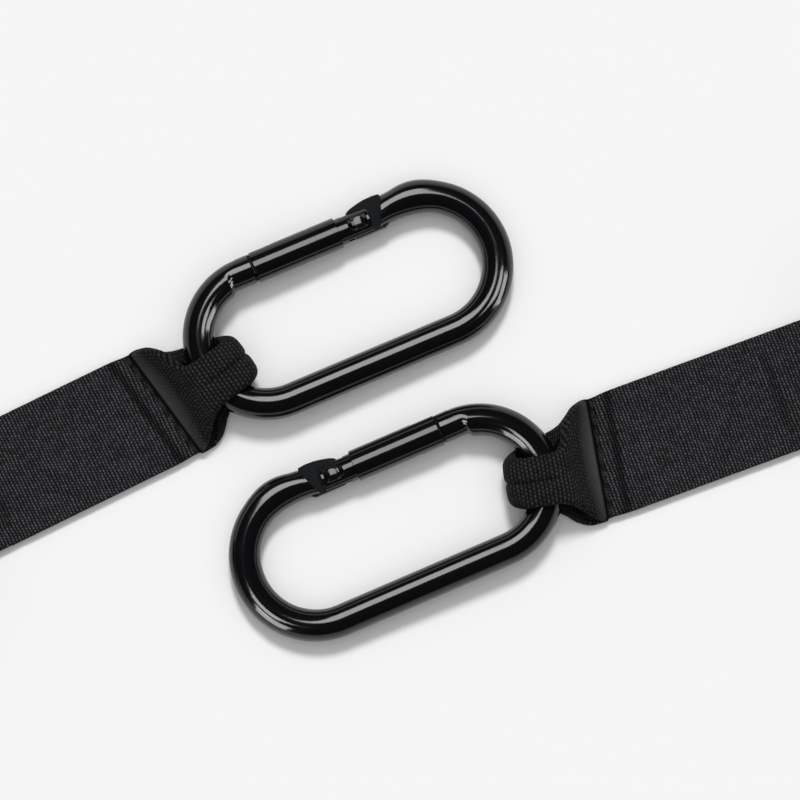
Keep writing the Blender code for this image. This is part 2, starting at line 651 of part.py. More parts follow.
def build_set(side, outward, y, steel, bright, webbing, cloth, wood):
    # outward is -1 for the left set, whose strap runs to -X, and +1 for the right one
    hand = outward
    turn = 0.0 if outward > 0 else math.pi
    bow = Vector((outward * BOW_OFFSET, y, 0.0))
    flip = math.pi - CARABINER_TILT if outward > 0 else CARABINER_TILT
    carabiner = frame(side + "_carabiner_frame", bow + Vector((0.0, 0.0, BOW_HEIGHT)), (0.0, flip, 0.0))
    build_body(side, carabiner, steel)
    build_gate(side, carabiner, steel)
    build_rivet(side, carabiner, steel)
    build_latch_pin(side, carabiner, steel)
    build_plunger(side, carabiner, bright)
    build_spring(side, carabiner, bright)

    radial = Vector((outward * math.cos(EYE_ANGLE), -math.sin(EYE_ANGLE), 0.0))
    beside = Vector((outward * math.sin(EYE_ANGLE), math.cos(EYE_ANGLE), 0.0))
    eye_frame = frame(side + "_eye_frame", bow + BOW_R * radial, (0.0, 0.0, turn - outward * EYE_ANGLE))
    build_eye(side, eye_frame, hand, webbing)

    seam = bow + SEAM_REACH * radial + EYE_SHIFT * beside
    strap = frame(side + "_strap_frame", seam, (0.0, 0.0, turn - outward * STRAP_ANGLE))
    skewed_strip(side + "_eye_flap", FLAP_LENGTH, FLAP_HEIGHT, strap, hand, webbing)
    skewed_strip(side + "_strap_run", RUN_LENGTH - SEAT_GAP / 2, RUN_HEIGHT, strap, hand, webbing)
    path_ribbon(side + "_strap_hank", hank_path(), strap, webbing)
    build_keeper(side, strap, cloth)
    lead_start = RUN_LENGTH + FOLD_LENGTH + SEAT_GAP / 2
    lead_end = RING_SEAM_X - SEAT_GAP / 2
    below = WEB_THICKNESS + SEAT_GAP
    path_ribbon(side + "_ring_lead", lead_path(lead_start, lead_end, 0.0), strap, webbing)
    path_ribbon(side + "_ring_eye_flap", lead_path(RING_SEAM_X - RING_FLAP_LENGTH, lead_end, below),
                strap, webbing)
    build_ring_eye(side, strap, webbing)
    build_ring(side, strap, wood)


def main():
    steel = make_material("black_steel", (0.012, 0.013, 0.015), 0.28, 0.6)
    bright = make_material("bright_steel", (0.55, 0.56, 0.57), 0.3, 1.0)
    webbing = make_material("black_webbing", (0.014, 0.015, 0.018), 0.85, 0.0)
    cloth = make_material("black_hook_and_loop", (0.01, 0.01, 0.012), 0.95, 0.0)
    wood = make_material("pale_wood", (0.62, 0.45, 0.27), 0.5, 0.0)
    middle = -RING_DROP
    build_set("left", -1, middle + SET_SPACING / 2, steel, bright, webbing, cloth, wood)
    build_set("right", 1, middle - SET_SPACING / 2, steel, bright, webbing, cloth, wood)
    print("folded strap:", round(path_length(hank_path()), 3), "m, gap between layers",
          round(FOLD_GAP / MM, 2), "mm")


main()
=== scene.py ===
# Dresses a pair of gymnastic rings: black oval carabiners, woven straps and wooden rings.
import math

import bpy
import numpy as np
from mathutils import Matrix, Vector


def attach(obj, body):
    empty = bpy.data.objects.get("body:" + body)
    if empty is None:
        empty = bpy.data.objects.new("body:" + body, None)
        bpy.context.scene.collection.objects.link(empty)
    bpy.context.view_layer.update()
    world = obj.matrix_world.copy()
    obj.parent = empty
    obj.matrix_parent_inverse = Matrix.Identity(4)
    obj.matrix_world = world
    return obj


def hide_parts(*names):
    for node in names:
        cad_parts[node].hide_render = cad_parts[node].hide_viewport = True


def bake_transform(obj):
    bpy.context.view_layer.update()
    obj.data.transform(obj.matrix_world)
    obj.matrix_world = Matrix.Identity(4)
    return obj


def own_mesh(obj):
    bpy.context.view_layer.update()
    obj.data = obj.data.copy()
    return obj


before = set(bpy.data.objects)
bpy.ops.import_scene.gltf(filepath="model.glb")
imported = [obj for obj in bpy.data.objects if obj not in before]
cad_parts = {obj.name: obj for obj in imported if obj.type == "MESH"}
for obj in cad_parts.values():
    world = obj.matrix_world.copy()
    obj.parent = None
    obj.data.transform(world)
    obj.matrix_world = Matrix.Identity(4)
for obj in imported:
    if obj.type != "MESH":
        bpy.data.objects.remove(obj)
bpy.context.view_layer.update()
print("frame loaded,", len(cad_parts), "nodes")

# All shapes are worked out in millimetres in the left set's own frames. The right set is the left
# one seen in a mirror across x, moved across the pair.
layout = {
    "bow": (-21.3, 60.793, 7.608),     # centre of the carabiner's strap-end bow
    "tilt": 1.941,                     # degrees that the carabiner leans down to its free end
    "eyeAngle": 13.3,                  # degrees from the carabiner's axis to the webbing eye
    "strapAngle": 3.0,                 # degrees from the carabiner's axis to the strap
    "seam": (-58.392, 54.696, 0.0),    # middle of the seam that closes the eye
    "ringCentre": (-441.861, 34.599, 14.975),
    "ringTilt": 0.537,
    "spacing": 69.2,                   # from the left set across to the right one
}
sides = ("left", "right")
mirror = np.array([-1.0, 1.0, 1.0])


def inSet(place, side):
    # a place of the left set, or its mirror image in the right set
    return place if side == "left" else place * mirror - [0.0, layout["spacing"], 0.0]


def inWay(way, side):
    return way if side == "left" else way * mirror


def makeSpot(origin, xAxis, yAxis, zAxis=(0.0, 0.0, 1.0)):
    return {"origin": np.array(origin), "axes": np.array([xAxis, yAxis, zAxis])}


def turnedSpot(origin, degrees):
    # x runs away from the carabiner along the webbing, y to the side that the gate is on
    a = math.radians(degrees)
    return makeSpot(origin, (-math.cos(a), -math.sin(a), 0.0), (-math.sin(a), math.cos(a), 0.0))


tilt = math.radians(layout["tilt"])
carabinerSpot = makeSpot(layout["bow"], (math.cos(tilt), 0.0, -math.sin(tilt)), (0.0, 1.0, 0.0),
                         (math.sin(tilt), 0.0, math.cos(tilt)))
eyeAngle = math.radians(layout["eyeAngle"])
barRadius, bowRadius = 5.0, 21.0
eyeSpot = turnedSpot((layout["bow"][0] - bowRadius * math.cos(eyeAngle),
                      layout["bow"][1] - bowRadius * math.sin(eyeAngle), 0.0), layout["eyeAngle"])
strapSpot = turnedSpot(layout["seam"], layout["strapAngle"])
ringLean = math.radians(layout["ringTilt"])
ringSpot = turnedSpot(layout["ringCentre"], layout["strapAngle"])
ringSpot["axes"] = np.array([math.cos(ringLean) * ringSpot["axes"][0] - [0, 0, math.sin(ringLean)],
                             ringSpot["axes"][1],
                             math.sin(ringLean) * ringSpot["axes"][0] + [0, 0, math.cos(ringLean)]])


# Mesh helpers

def ease(u):
    # 0 to 1 with level ends
    u = np.clip(u, 0.0, 1.0)
    return u * u * (3.0 - 2.0 * u)


def gridShape(points, closedLong=False, closedRound=False, uv=None, caps=False):
    # quads between the rows and columns of points; closed ways wrap to their start, and there uv has
    # one row or column more
    rows, columns = points.shape[:2]
    i, j = np.meshgrid(np.arange(rows - 1 + closedLong), np.arange(columns - 1 + closedRound),
                       indexing="ij")
    corners = [(i, j), (i + 1, j), (i + 1, j + 1), (i, j + 1)]
    quads = np.stack([(a % rows) * columns + b % columns for a, b in corners], axis=-1)
    faces = quads.reshape(-1, 4).tolist()
    if caps:
        faces += [list(range(columns)), list(range((rows - 1) * columns, rows * columns))[::-1]]
    if uv is not None:
        uv = np.concatenate([np.stack([uv[a, b] for a, b in corners], axis=2).reshape(-1, 2),
                             *([uv[0, :columns], uv[rows - 1, :columns][::-1]] if caps else [])])
    return {"points": points.reshape(-1, 3), "faces": faces, "uv": uv}


def joinShapes(shapes):
    # several shapes without uv as one, in the order given
    faces, start = [], 0
    for shape in shapes:
        faces += [[start + v for v in face] for face in shape["faces"]]
        start += len(shape["points"])
    return {"points": np.concatenate([shape["points"] for shape in shapes]), "faces": faces, "uv": None}


def fillMesh(name, points, shape, flip):
    faces = [face[::-1] for face in shape["faces"]] if flip else shape["faces"]
    mesh = bpy.data.meshes.new(name)
    mesh.from_pydata(points.tolist(), [], faces)
    if shape["uv"] is not None:
        corners = shape["uv"]
        if flip:
            # every face's corners come in the other order
            counts = np.array([len(face) for face in faces])
            starts = np.cumsum(counts) - counts
            corners = corners[np.repeat(2 * starts + counts - 1, counts) - np.arange(counts.sum())]
        layer = mesh.uv_layers.new(name="cloth")
        layer.data.foreach_set("uv", (corners * 0.001).astype(np.float32).ravel())
    return mesh


def addObject(name, data):
    item = bpy.data.objects.new(name, data)
    bpy.context.scene.collection.objects.link(item)
    return item


def readArray(items, name, width=1, kind=float):
    values = np.empty(len(items) * width, kind)
    items.foreach_get(name, values)
    return values.reshape(-1, width) if width > 1 else values


def addPair(name, shape, spot, material, body, replaced=None, sharp=60.0):
    # the same piece in both sets, each riding on its own body
    made = []
    for side in sides:
        places = inSet(spot["origin"] + shape["points"] @ spot["axes"], side)
        mirrored = (np.linalg.det(spot["axes"]) < 0) != (side == "right")
        mesh = fillMesh(side + name, places * 0.001, shape, mirrored)
        mesh.shade_smooth()
        if sharp:
            mesh.set_sharp_from_angle(angle=math.radians(sharp))
        mesh.materials.append(material)
        piece = addObject(side + name, mesh)
        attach(piece, side + "_" + body)
        if replaced:
            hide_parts(side + "_" + replaced)
        made.append(piece)
    return made


def cutShape(shape, cutters, bevel=None):
    # a closed shape with others cut away by Boolean modifiers, then read back as plain arrays
    blank = addObject("blank", fillMesh("blank", shape["points"], shape, False))
    tools = [addObject("tool", fillMesh("tool", cutter["points"], cutter, False)) for cutter in cutters]
    for tool in tools:
        cut = blank.modifiers.new("cut", "BOOLEAN")
        cut.operation, cut.solver, cut.object = "DIFFERENCE", "EXACT", tool
    if bevel:
        edge = blank.modifiers.new("edge", "BEVEL")
        edge.width, edge.segments = bevel, 3
        edge.limit_method, edge.angle_limit = "ANGLE", math.radians(40)
    bpy.context.view_layer.update()
    done = blank.evaluated_get(bpy.context.evaluated_depsgraph_get()).to_mesh()
    points = readArray(done.vertices, "co", 3)
    faces = [list(polygon.vertices) for polygon in done.polygons]
    for spent in (blank, *tools):
        bpy.data.objects.remove(spent, do_unlink=True)
    return {"points": points, "faces": faces, "uv": None}


def atCorners(mesh, values):
    # each face's value at every one of its corners
    return np.repeat(values, readArray(mesh.polygons, "loop_total", kind=int), axis=0)


def turnedNormals(pieces, spot, axisPlace):
    # a turned piece shades as a true round: corners whose face points away from the axis take the
    # direction away from it, and all others keep their face's own
    for side, piece in zip(sides, pieces):
        mesh = piece.data
        place = inSet(spot["origin"] + np.array(axisPlace) @ spot["axes"], side) * 0.001
        along = inWay(spot["axes"][0], side)
        corners = readArray(mesh.loops, "vertex_index", kind=int)
        facing = atCorners(mesh, readArray(mesh.polygons, "normal", 3))
        away = readArray(mesh.vertices, "co", 3)[corners] - place
        away = unit(away - (away @ along)[:, None] * along + 1e-12)
        smooth = (np.sum(away * facing, axis=1) > 0.9)[:, None]
        mesh.normals_split_custom_set(np.where(smooth, away, facing).tolist())


def evenNormals(pieces):
    # a flat face with rounded edges shades flat: every point takes the mean direction of its faces,
    # each counted by its area
    for piece in pieces:
        mesh = piece.data
        corners = readArray(mesh.loops, "vertex_index", kind=int)
        counted = readArray(mesh.polygons, "normal", 3) * readArray(mesh.polygons, "area")[:, None]
        total = np.zeros((len(mesh.vertices), 3))
        np.add.at(total, corners, atCorners(mesh, counted))
        mesh.normals_split_custom_set(unit(total[corners]).tolist())


def blockShape(low, high):
    # a plain box between two corners
    corners = np.array([(x, y, z) for x in (0, 1) for y in (0, 1) for z in (0, 1)], float)
    faces = [[0, 1, 3, 2], [4, 6, 7, 5], [0, 4, 5, 1], [2, 3, 7, 6], [0, 2, 6, 4], [1, 5, 7, 3]]
    return {"points": np.array(low) + corners * (np.array(high) - low), "faces": faces, "uv": None}


def lathedShape(profile, centre, axis="X", sides=64, caps=True):
    # a profile of (place along the axis, radius) turned round an axis through the centre; its faces
    # point outwards where the places fall
    along, radius = np.array(profile, float).T
    turn = np.arange(sides) * 2 * math.pi / sides
    a, b = np.meshgrid(along, turn, indexing="ij")
    r = np.maximum(radius, 0.001)[:, None]
    round1, round2 = r * np.cos(b), r * np.sin(b)
    points = np.stack([a, round1, round2] if axis == "X" else [round1, round2, a], axis=-1)
    return gridShape(points + np.array(centre), closedRound=True, caps=caps)


def rodShape(low, high, radius, centre, axis="Z", sides=24, caps=False):
    # a plain cylinder; one that only cuts leaves its poles open
    profile = [(low, 0.0), (low, radius), (high, radius), (high, 0.0)]
    return lathedShape(profile, centre, axis, sides, caps)


def tubeShape(points, out, up, radius, sides):
    # a circle carried along a line of points; out and up = out x way are its two axes at each
    a = np.arange(sides) * 2 * math.pi / sides
    ring = out[:, None] * np.cos(a)[:, None] + up[:, None] * np.sin(a)[:, None]
    return gridShape(points[:, None] + radius * ring, closedRound=True, caps=True)


def plateShape(outline, thickness):
    # a flat plate between z = -half and +half of its thickness
    flat = np.array(outline)
    count = len(flat)
    low = np.column_stack([flat, np.full(count, -thickness / 2)])
    high = np.column_stack([flat, np.full(count, thickness / 2)])
    walls = [[i, (i + 1) % count, count + (i + 1) % count, count + i] for i in range(count)]
    faces = [list(range(count))[::-1], list(range(count, 2 * count))] + walls
    return {"points": np.concatenate([low, high]), "faces": faces, "uv": None}


def arcPoints(centre, radius, start, end, count):
    a = np.linspace(start, end, count)
    return np.column_stack([centre[0] + radius * np.cos(a), centre[1] + radius * np.sin(a)])


def unit(v):
    return v / np.linalg.norm(v, axis=-1, keepdims=True)


# Materials

def setInputs(node, values):
    # an input takes a plain value, or a link from another node's output
    for key, value in values.items():
        if isinstance(value, bpy.types.NodeSocket):
            node.id_data.links.new(value, node.inputs[key])
        else:
            node.inputs[key].default_value = value


def newMaterial(name, colour, roughness, metallic=0.0):
    material = bpy.data.materials.new(name)
    material.use_nodes = True
    shader = material.node_tree.nodes["Principled BSDF"]
    setInputs(shader, {"Base Color": (*colour, 1.0), "Roughness": roughness, "Metallic": metallic})
    return material, material.node_tree, shader


def addNode(tree, kind, links=None, **settings):
    node = tree.nodes.new("ShaderNode" + kind)
    for key, value in settings.items():
        setattr(node, key, value)
    setInputs(node, links or {})
    return node


# the helpers below add to the tree that the socket they are given is in

def doMath(operation, a, b=0.0):
    return addNode(a.id_data, "Math", {0: a, 1: b}, operation=operation).outputs[0]


def plus(a, b):
    return doMath("ADD", a, b)


def times(a, b):
    return doMath("MULTIPLY", a, b)


def halfWave(value):
    # 0 at each whole number and 1 halfway between
    return doMath("SINE", times(doMath("PINGPONG", value, 0.5), math.pi))


def addNoise(place, scale, detail=3.0):
    links = {"Vector": place, "Scale": scale, "Detail": detail}
    return addNode(place.id_data, "TexNoise", links).outputs["Fac"]


def mapRange(value, start, end, low=0.0, high=1.0, kind="LINEAR"):
    # the stretch from start to end becomes low to high, and past its ends it stays there
    links = {"Value": value, "From Min": start, "From Max": end, "To Min": low, "To Max": high}
    return addNode(value.id_data, "MapRange", links, interpolation_type=kind).outputs[0]


def mixValues(share, first, second):
    return addNode(share.id_data, "Mix", {"Factor": share, 2: first, 3: second}).outputs[0]


def mixColours(share, *colours):
    first, second = ((*colour, 1.0) if isinstance(colour, tuple) else colour for colour in colours)
    return addNode(share.id_data, "Mix", {"Factor": share, 6: first, 7: second}, data_type="RGBA").outputs[2]


def addBump(shader, height, strength, distance):
    links = {"Height": height, "Strength": strength, "Distance": distance}
    setInputs(shader, {"Normal": addNode(height.id_data, "Bump", links).outputs["Normal"]})


coatLook = {"colour": (0.0035, 0.0038, 0.0045), "roughness": 0.11, "spread": 0.04}
milledLook = {"colour": (0.013, 0.0145, 0.017), "roughness": 0.3, "spread": 0.1}


def makeCoat(name, look):
    # gloss black coating: faint clouding of the gloss and a very fine orange peel
    rough, half = look["roughness"], look["spread"] / 2
    material, tree, shader = newMaterial(name, look["colour"], rough)
    place = addNode(tree, "TexCoord").outputs["Object"]
    cloud = mapRange(addNoise(place, 160.0), 0.3, 0.7, rough - half, rough + half)
    setInputs(shader, {"Roughness": cloud})
    addBump(shader, addNoise(place, 1500.0, 2.0), 0.04, 0.0002)
    return material


# spring steel with fine drawn lines, twisted sewing thread, and the dense short loops of the keeper
steelLook = {"dark": (0.42, 0.43, 0.44), "light": (0.62, 0.63, 0.64), "roughness": 0.3, "metallic": 1.0,
             "stretch": (200.0, 4000.0, 4000.0), "bump": (0.15, 0.0001)}
threadLook = {"dark": (0.002, 0.002, 0.0022), "light": (0.012, 0.012, 0.013), "roughness": 0.6,
              "bump": (0.5, 0.0001)}
loopLook = {"dark": (0.004, 0.004, 0.005), "light": (0.032, 0.032, 0.035), "roughness": 0.95,
            "fuzz": 0.4, "bump": (0.8, 0.0004)}


def makeFine(name, look, kind, **texture):
    # one fine pattern both shades the colour and raises the surface
    material, tree, shader = newMaterial(name, look["dark"], look["roughness"], look.get("metallic", 0.0))
    place = addNode(tree, "TexCoord").outputs["Object"]
    place = addNode(tree, "Mapping", {"Vector": place, "Scale": look.get("stretch", (1.0, 1.0, 1.0))})
    pattern = addNode(tree, kind, {"Vector": place.outputs[0], **texture}).outputs
    pattern = pattern["Distance" if kind == "TexVoronoi" else "Fac"]
    setInputs(shader, {"Base Color": mixColours(pattern, look["dark"], look["light"]),
                       "Sheen Weight": look.get("fuzz", 0.0)})
    addBump(shader, pattern, *look["bump"])
    return material


strapWeave = {"ribs": 1.05, "dots": 0.93, "jitter": 0.8, "spread": 0.55, "patches": 0.4,
              "dark": (0.0015, 0.0015, 0.0018), "light": (0.101, 0.102, 0.111), "relief": 0.00022,
              "fuzz": 0.02}
seamWeave = {**strapWeave, "slope": math.tan(math.radians(10.3)), "smooth": (0.4, 1.6),
             # rows: painted shade along the seam's rows of stitches
             "satinToneAndSheen": (0.02, 0.02, 0.021), "rows": ((0.1, 1.6, 1.0), (1.7, 0.7, 0.95), (6.5, 2.3, 0.65))}
loopWeave = {"ribs": 1.25, "dots": 1.2, "jitter": 0.5, "spread": 0.45, "patches": 0.7,
             "dark": (0.003, 0.003, 0.0033), "light": (0.045, 0.046, 0.051), "relief": 0.00026,
             # next to the seam the loop's smooth colour is lighter than its yarns: painted sheen
             "fuzz": 0.02, "smooth": (2.6, 9.4), "corners": 4.5, "satinToneAndSheen": (0.080, 0.081, 0.084),
             # rows: painted shade along the seam
             "rows": ((0.0, 2.1, 1.0),),
             # the crease's dark line is painted shade
             "crease": {"from": (17.0, 22.0), "to": (40.0, 36.0), "half": 1.0, "depth": 0.55}}
paintedCreaseShade = (0.0012, 0.0012, 0.0013)       # painted shade: the colour laid where a crease or a row of stitches draws the cloth in


def makeWebbing(name, look):
    # rows of rounded yarns across the webbing, each row half a yarn beside the last: height = rib(u) * dot(v
    # + half a yarn in every other row). The colour follows the height, a painted highlight on the yarns'
    # tops and painted shade between them, and each yarn has its own brightness
    material, tree, shader = newMaterial(name, look["light"], 0.8)
    cloth = addNode(tree, "UVMap", uv_map="cloth").outputs["UV"]
    axes = addNode(tree, "SeparateXYZ", {"Vector": cloth}).outputs
    wobble = addNoise(cloth, 260.0, 2.0)
    rowPlace = plus(times(axes[0], 1000.0 / look["ribs"]), times(wobble, look["jitter"]))
    rib = halfWave(rowPlace)
    row = doMath("FLOOR", rowPlace)
    yarn = plus(times(axes[1], 1000.0 / look["dots"]),
                times(doMath("MODULO", row, 2.0), 0.5))
    yarn = plus(yarn, times(wobble, 1.3 * look["jitter"]))
    dot = halfWave(yarn)
    height = times(rib, plus(times(dot, 0.65), 0.35))
    cell = addNode(tree, "CombineXYZ", {0: row, 1: doMath("FLOOR", yarn)}).outputs[0]
    chance = addNode(tree, "TexWhiteNoise", {"Vector": cell}, noise_dimensions="2D").outputs["Value"]
    tone = plus(times(chance, look["spread"]), 1.0 - look["spread"])
    # painted light: lighter on the yarns' tops, darker in the gaps between them
    shade = times(doMath("POWER", height, 1.9), tone)
    patches = times(addNoise(cloth, 90.0, 4.0), look["patches"])
    shade = times(shade, plus(patches, 1.0 - look["patches"] / 2))
    colour = mixColours(shade, look["dark"], look["light"])
    place = times(axes[0], 1000.0)
    if "slope" in look:
        place = doMath("SUBTRACT", place, times(axes[1], 1000.0 * look["slope"]))
    if "smooth" in look:
        # next to the seam the cloth is drawn smooth, so its yarns hardly show, but less so towards the
        # webbing's edges. There it takes one plain colour; in the loop that colour is lighter than the
        # yarns, a painted sheen on the taut cloth
        side = times(axes[1], 1000.0 / 19.0)
        corner = times(times(side, side), look.get("corners", 0.0))
        near, far = look["smooth"]
        drawn = mapRange(plus(place, corner), near, far, 0.22)
        height = times(height, drawn)
        colour = mixColours(drawn, look["satinToneAndSheen"], colour)
    if "crease" in look:
        # painted shade: a dark line along the crease in the loop's middle, fading in and out along the loop
        creaseShade = doMath("ABSOLUTE", times(axes[1], 1000.0))
        creaseShade = mapRange(creaseShade, look["crease"]["half"], 0.0, 0.0, look["crease"]["depth"], "SMOOTHSTEP")
        for end in ("from", "to"):
            none, full = look["crease"][end]
            creaseShade = times(creaseShade, mapRange(place, none, full))
        colour = mixColours(creaseShade, colour, paintedCreaseShade)
    for offset, half, depth in look.get("rows", ()):
        # painted shade where a row of stitches draws the cloth in
        away = doMath("ABSOLUTE", doMath("SUBTRACT", place, offset))
        dark = mapRange(away, half, 0.25 * half, 0.0, depth, "SMOOTHSTEP")
        colour = mixColours(dark, colour, paintedCreaseShade)
    setInputs(shader, {"Base Color": colour, "Sheen Weight": look["fuzz"], "Sheen Roughness": 0.45,
                       "Specular IOR Level": 0.06})
    addBump(shader, height, 0.9, look["relief"])
    return material


woodLook = {"section": 28.0, "ply": 1.45, "pale": (0.66, 0.47, 0.27), "deep": (0.50, 0.32, 0.16),
            "glue": (0.30, 0.17, 0.08)}


def makeWood():
    # birch plies stacked along the ring's axis: the ply is read from the height in the section, and
    # the grain runs across in every other ply
    material, tree, shader = newMaterial("birchPly", woodLook["pale"], 0.42)
    place = addNode(tree, "UVMap", uv_map="cloth").outputs["UV"]
    axes = addNode(tree, "SeparateXYZ", {"Vector": place}).outputs
    radius = woodLook["section"] / 2
    level = times(doMath("SINE", times(axes[1], 1000.0 / radius)), radius / woodLook["ply"])
    across = doMath("MODULO", doMath("FLOOR", plus(level, 40.0)), 2.0)
    glue = doMath("LESS_THAN", doMath("PINGPONG", level, 0.5), 0.045)
    solid = addNode(tree, "TexCoord").outputs["Object"]
    grains = [addNoise(addNode(tree, "Mapping", {"Vector": solid, "Scale": scale}).outputs[0], 1.0, 5.0)
              for scale in ((60.0, 900.0, 900.0), (900.0, 60.0, 900.0))]
    grain = mixValues(across, *grains)
    tone = plus(times(across, 0.35), times(grain, 0.7))
    timber = mixColours(tone, woodLook["pale"], woodLook["deep"])
    setInputs(shader, {"Base Color": mixColours(times(glue, 0.6), timber, woodLook["glue"])})
    addBump(shader, grain, 0.12, 0.0003)
    return material


coat, milledCoat = makeCoat("blackCoat", coatLook), makeCoat("milledCoat", milledLook)
steel, wood = makeFine("brightSteel", steelLook, "TexNoise", Scale=1.0, Detail=3.0), makeWood()
thread = makeFine("sewingThread", threadLook, "TexWave", Scale=700.0, Distortion=2.0)
velcro = makeFine("hookAndLoop", loopLook, "TexVoronoi", Scale=1500.0)
strapCloth, loopCloth = makeWebbing("strapWebbing", strapWeave), makeWebbing("loopWebbing", loopWeave)
seamCloth = makeWebbing("seamWebbing", seamWeave)
for side in sides:
    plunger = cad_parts[side + "_spring_plunger"].data
    plunger.materials.clear()
    plunger.materials.append(steel)
print("materials made")


# Carabiner

bar = {"hingeBowRadius": 22.0, "bowSpacing": 55.0, "gateY": 21.4, "riseEnd": 2.5, "shoulder": 6.9,
       "stubRadius": 4.7, "stubEnd": 4.35, "chamfer": 0.3, "steep": 1.8, "toolStart": -3.3,
       "toolSlope": 1.3, "heel": 1.0, "heelStart": 53.5, "heelLength": 6.0, "shear": 3.6,
       "shearRows": 24, "dish": 0.7, "dishDepth": 1.2, "sides": 56}


def barShape():
    # the bar's circle carried along its centre line: from the hinge shoulder round the hinge bow,
    # down the spine, round the strap bow and straight on to the nose. Past the tool's start the
    # distance from the gate's axis is cut down to the stub's radius, which leaves a sloped step
    lean = math.asin(bar["shoulder"] / bar["hingeBowRadius"])
    hingeBow = arcPoints((bar["bowSpacing"], 1.0), bar["hingeBowRadius"], math.pi / 2 + lean,
                         -math.pi / 2, 90)
    spine = np.column_stack([np.linspace(bar["bowSpacing"], 0.0, 42)[1:-1], np.full(40, -bowRadius)])
    strapBow = arcPoints((0.0, 0.0), bowRadius, -math.pi / 2, -3 * math.pi / 2, 84)
    nose = np.column_stack([np.linspace(0.0, bar["stubEnd"], 26)[1:], np.full(25, bowRadius)])
    nose[:, 1] += (bar["gateY"] - bowRadius) * ease(nose[:, 0] / bar["riseEnd"])
    path = np.concatenate([hingeBow, spine, strapBow, nose])
    way = unit(np.gradient(path, axis=0))
    side = np.column_stack([-way[:, 1], way[:, 0]])
    turn = np.arange(bar["sides"]) * 2 * math.pi / bar["sides"]
    flat = path[:, None] + side[:, None] * (barRadius * np.cos(turn))[None, :, None]
    high = np.broadcast_to(barRadius * np.sin(turn), flat.shape[:2])
    points = np.concatenate([flat, high[:, :, None]], axis=2)
    x, y, z = points[..., 0], points[..., 1] - bar["gateY"], points[..., 2]
    row, distance = np.arange(len(path))[:, None], np.hypot(y, z)
    allowed = bar["stubRadius"] + np.maximum(0.0, (bar["toolStart"] - x) * bar["toolSlope"])
    allowed = allowed - bar["steep"] * np.maximum(0.0, x - (bar["stubEnd"] - bar["chamfer"]))
    late = (row > len(path) - 60) & (x > bar["toolStart"] - 3.0)
    share = np.where(late, np.minimum(1.0, allowed / distance), 1.0)
    points[..., 1], points[..., 2] = bar["gateY"] + y * share, z * share
    # the bar's end is cut slanting, further back on its outer side, and dished, and that side is a
    # little fuller where it meets the flat tongue
    points[..., 0] += bar["shear"] * np.cos(turn) * ease(1.0 - row / bar["shearRows"])
    outside = np.clip(points[..., 1] - path[:, 1:2], 0.0, None) / barRadius
    heel = bar["heel"] * outside * ease((bar["heelStart"] - points[..., 0]) / bar["heelLength"])
    points[..., 1] += np.where(row < 30, heel, 0.0)
    middle = points[:1].mean(axis=1, keepdims=True)
    dish = middle + (points[:1] - middle) * bar["dish"] + bar["dishDepth"] * np.array([*way[0], 0.0])
    return gridShape(np.concatenate([dish, points])[:, ::-1], closedRound=True, caps=True)


hinge = {"rivet": (40.4, 21.4), "shoulder": 48.1, "thickness": 3.2, "low": 17.1, "end": 37.4,
         "slotHalf": 1.9, "slotBottom": 35.6, "forkRadius": 4.3, "forkEnd": 3.8, "neck": 7.0,
         "recessRadius": 2.65, "recessDepth": 0.45,
         "headRadius": 1.95, "headHeight": 0.9, "headCurve": 8.0, "headRim": 0.2,
         "top": ((49.6, 27.6), (47.4, 27.85), (44.5, 27.75), (42.2, 27.35), (39.7, 26.75), (38.3, 26.2),
                 (37.65, 25.6))}


def tongueShape():
    # the flat tongue between the fork's ears: square below, and above a long curve up to the bar
    low, end, back = hinge["low"], hinge["end"], hinge["shoulder"]
    outline = [(end, low + 0.6), (end + 0.6, low), (back - 0.2, low), (back + 2.2, low + 1.4),
               (back + 2.4, 25.5), *hinge["top"], (end, 24.8)]
    return cutShape(plateShape(outline, hinge["thickness"]), [], bevel=0.3)


hook = {"start": -0.9, "notch": (6.5, 9.5), "roof": 22.8, "tip": 11.2, "low": 19.2, "high": 25.8,
        "raised": 3.2, "lip": (4.55, 17.0), "thickness": 3.0}


def hookShape():
    # the flat nose plate: a straight-sided outline with a notch from below for the latch pin and a lip
    # that goes down into the bar
    low, high, tip = hook["low"], hook["high"], hook["tip"]
    near, far = hook["notch"]
    raised, (lipEnd, lipLow) = hook["raised"], hook["lip"]
    outline = [(hook["start"], low), (raised, low), (raised, lipLow), (lipEnd, lipLow), (lipEnd, low),
               (near, low), (near, hook["roof"]), (far, hook["roof"]), (far, low), (tip, low),
               (tip, high - 1.6), (tip - 1.6, high - 0.4), (lipEnd + 1.0, high), (raised, high),
               (raised, high - 1.0), (hook["start"], high - 1.0)]
    return cutShape(plateShape(outline, hook["thickness"]), [], bevel=0.25)


gate = {"start": 4.65, "chamfer": 0.35, "steep": 1.8, "edge": 0.35, "slotEnd": 12.5, "slotFloor": 2.8,
        "slotHalf": 1.8, "boreLength": 21.6, "boreRadius": 2.1, "pinX": 8.0, "pinRadius": 1.1,
        "pinHalf": 4.75}


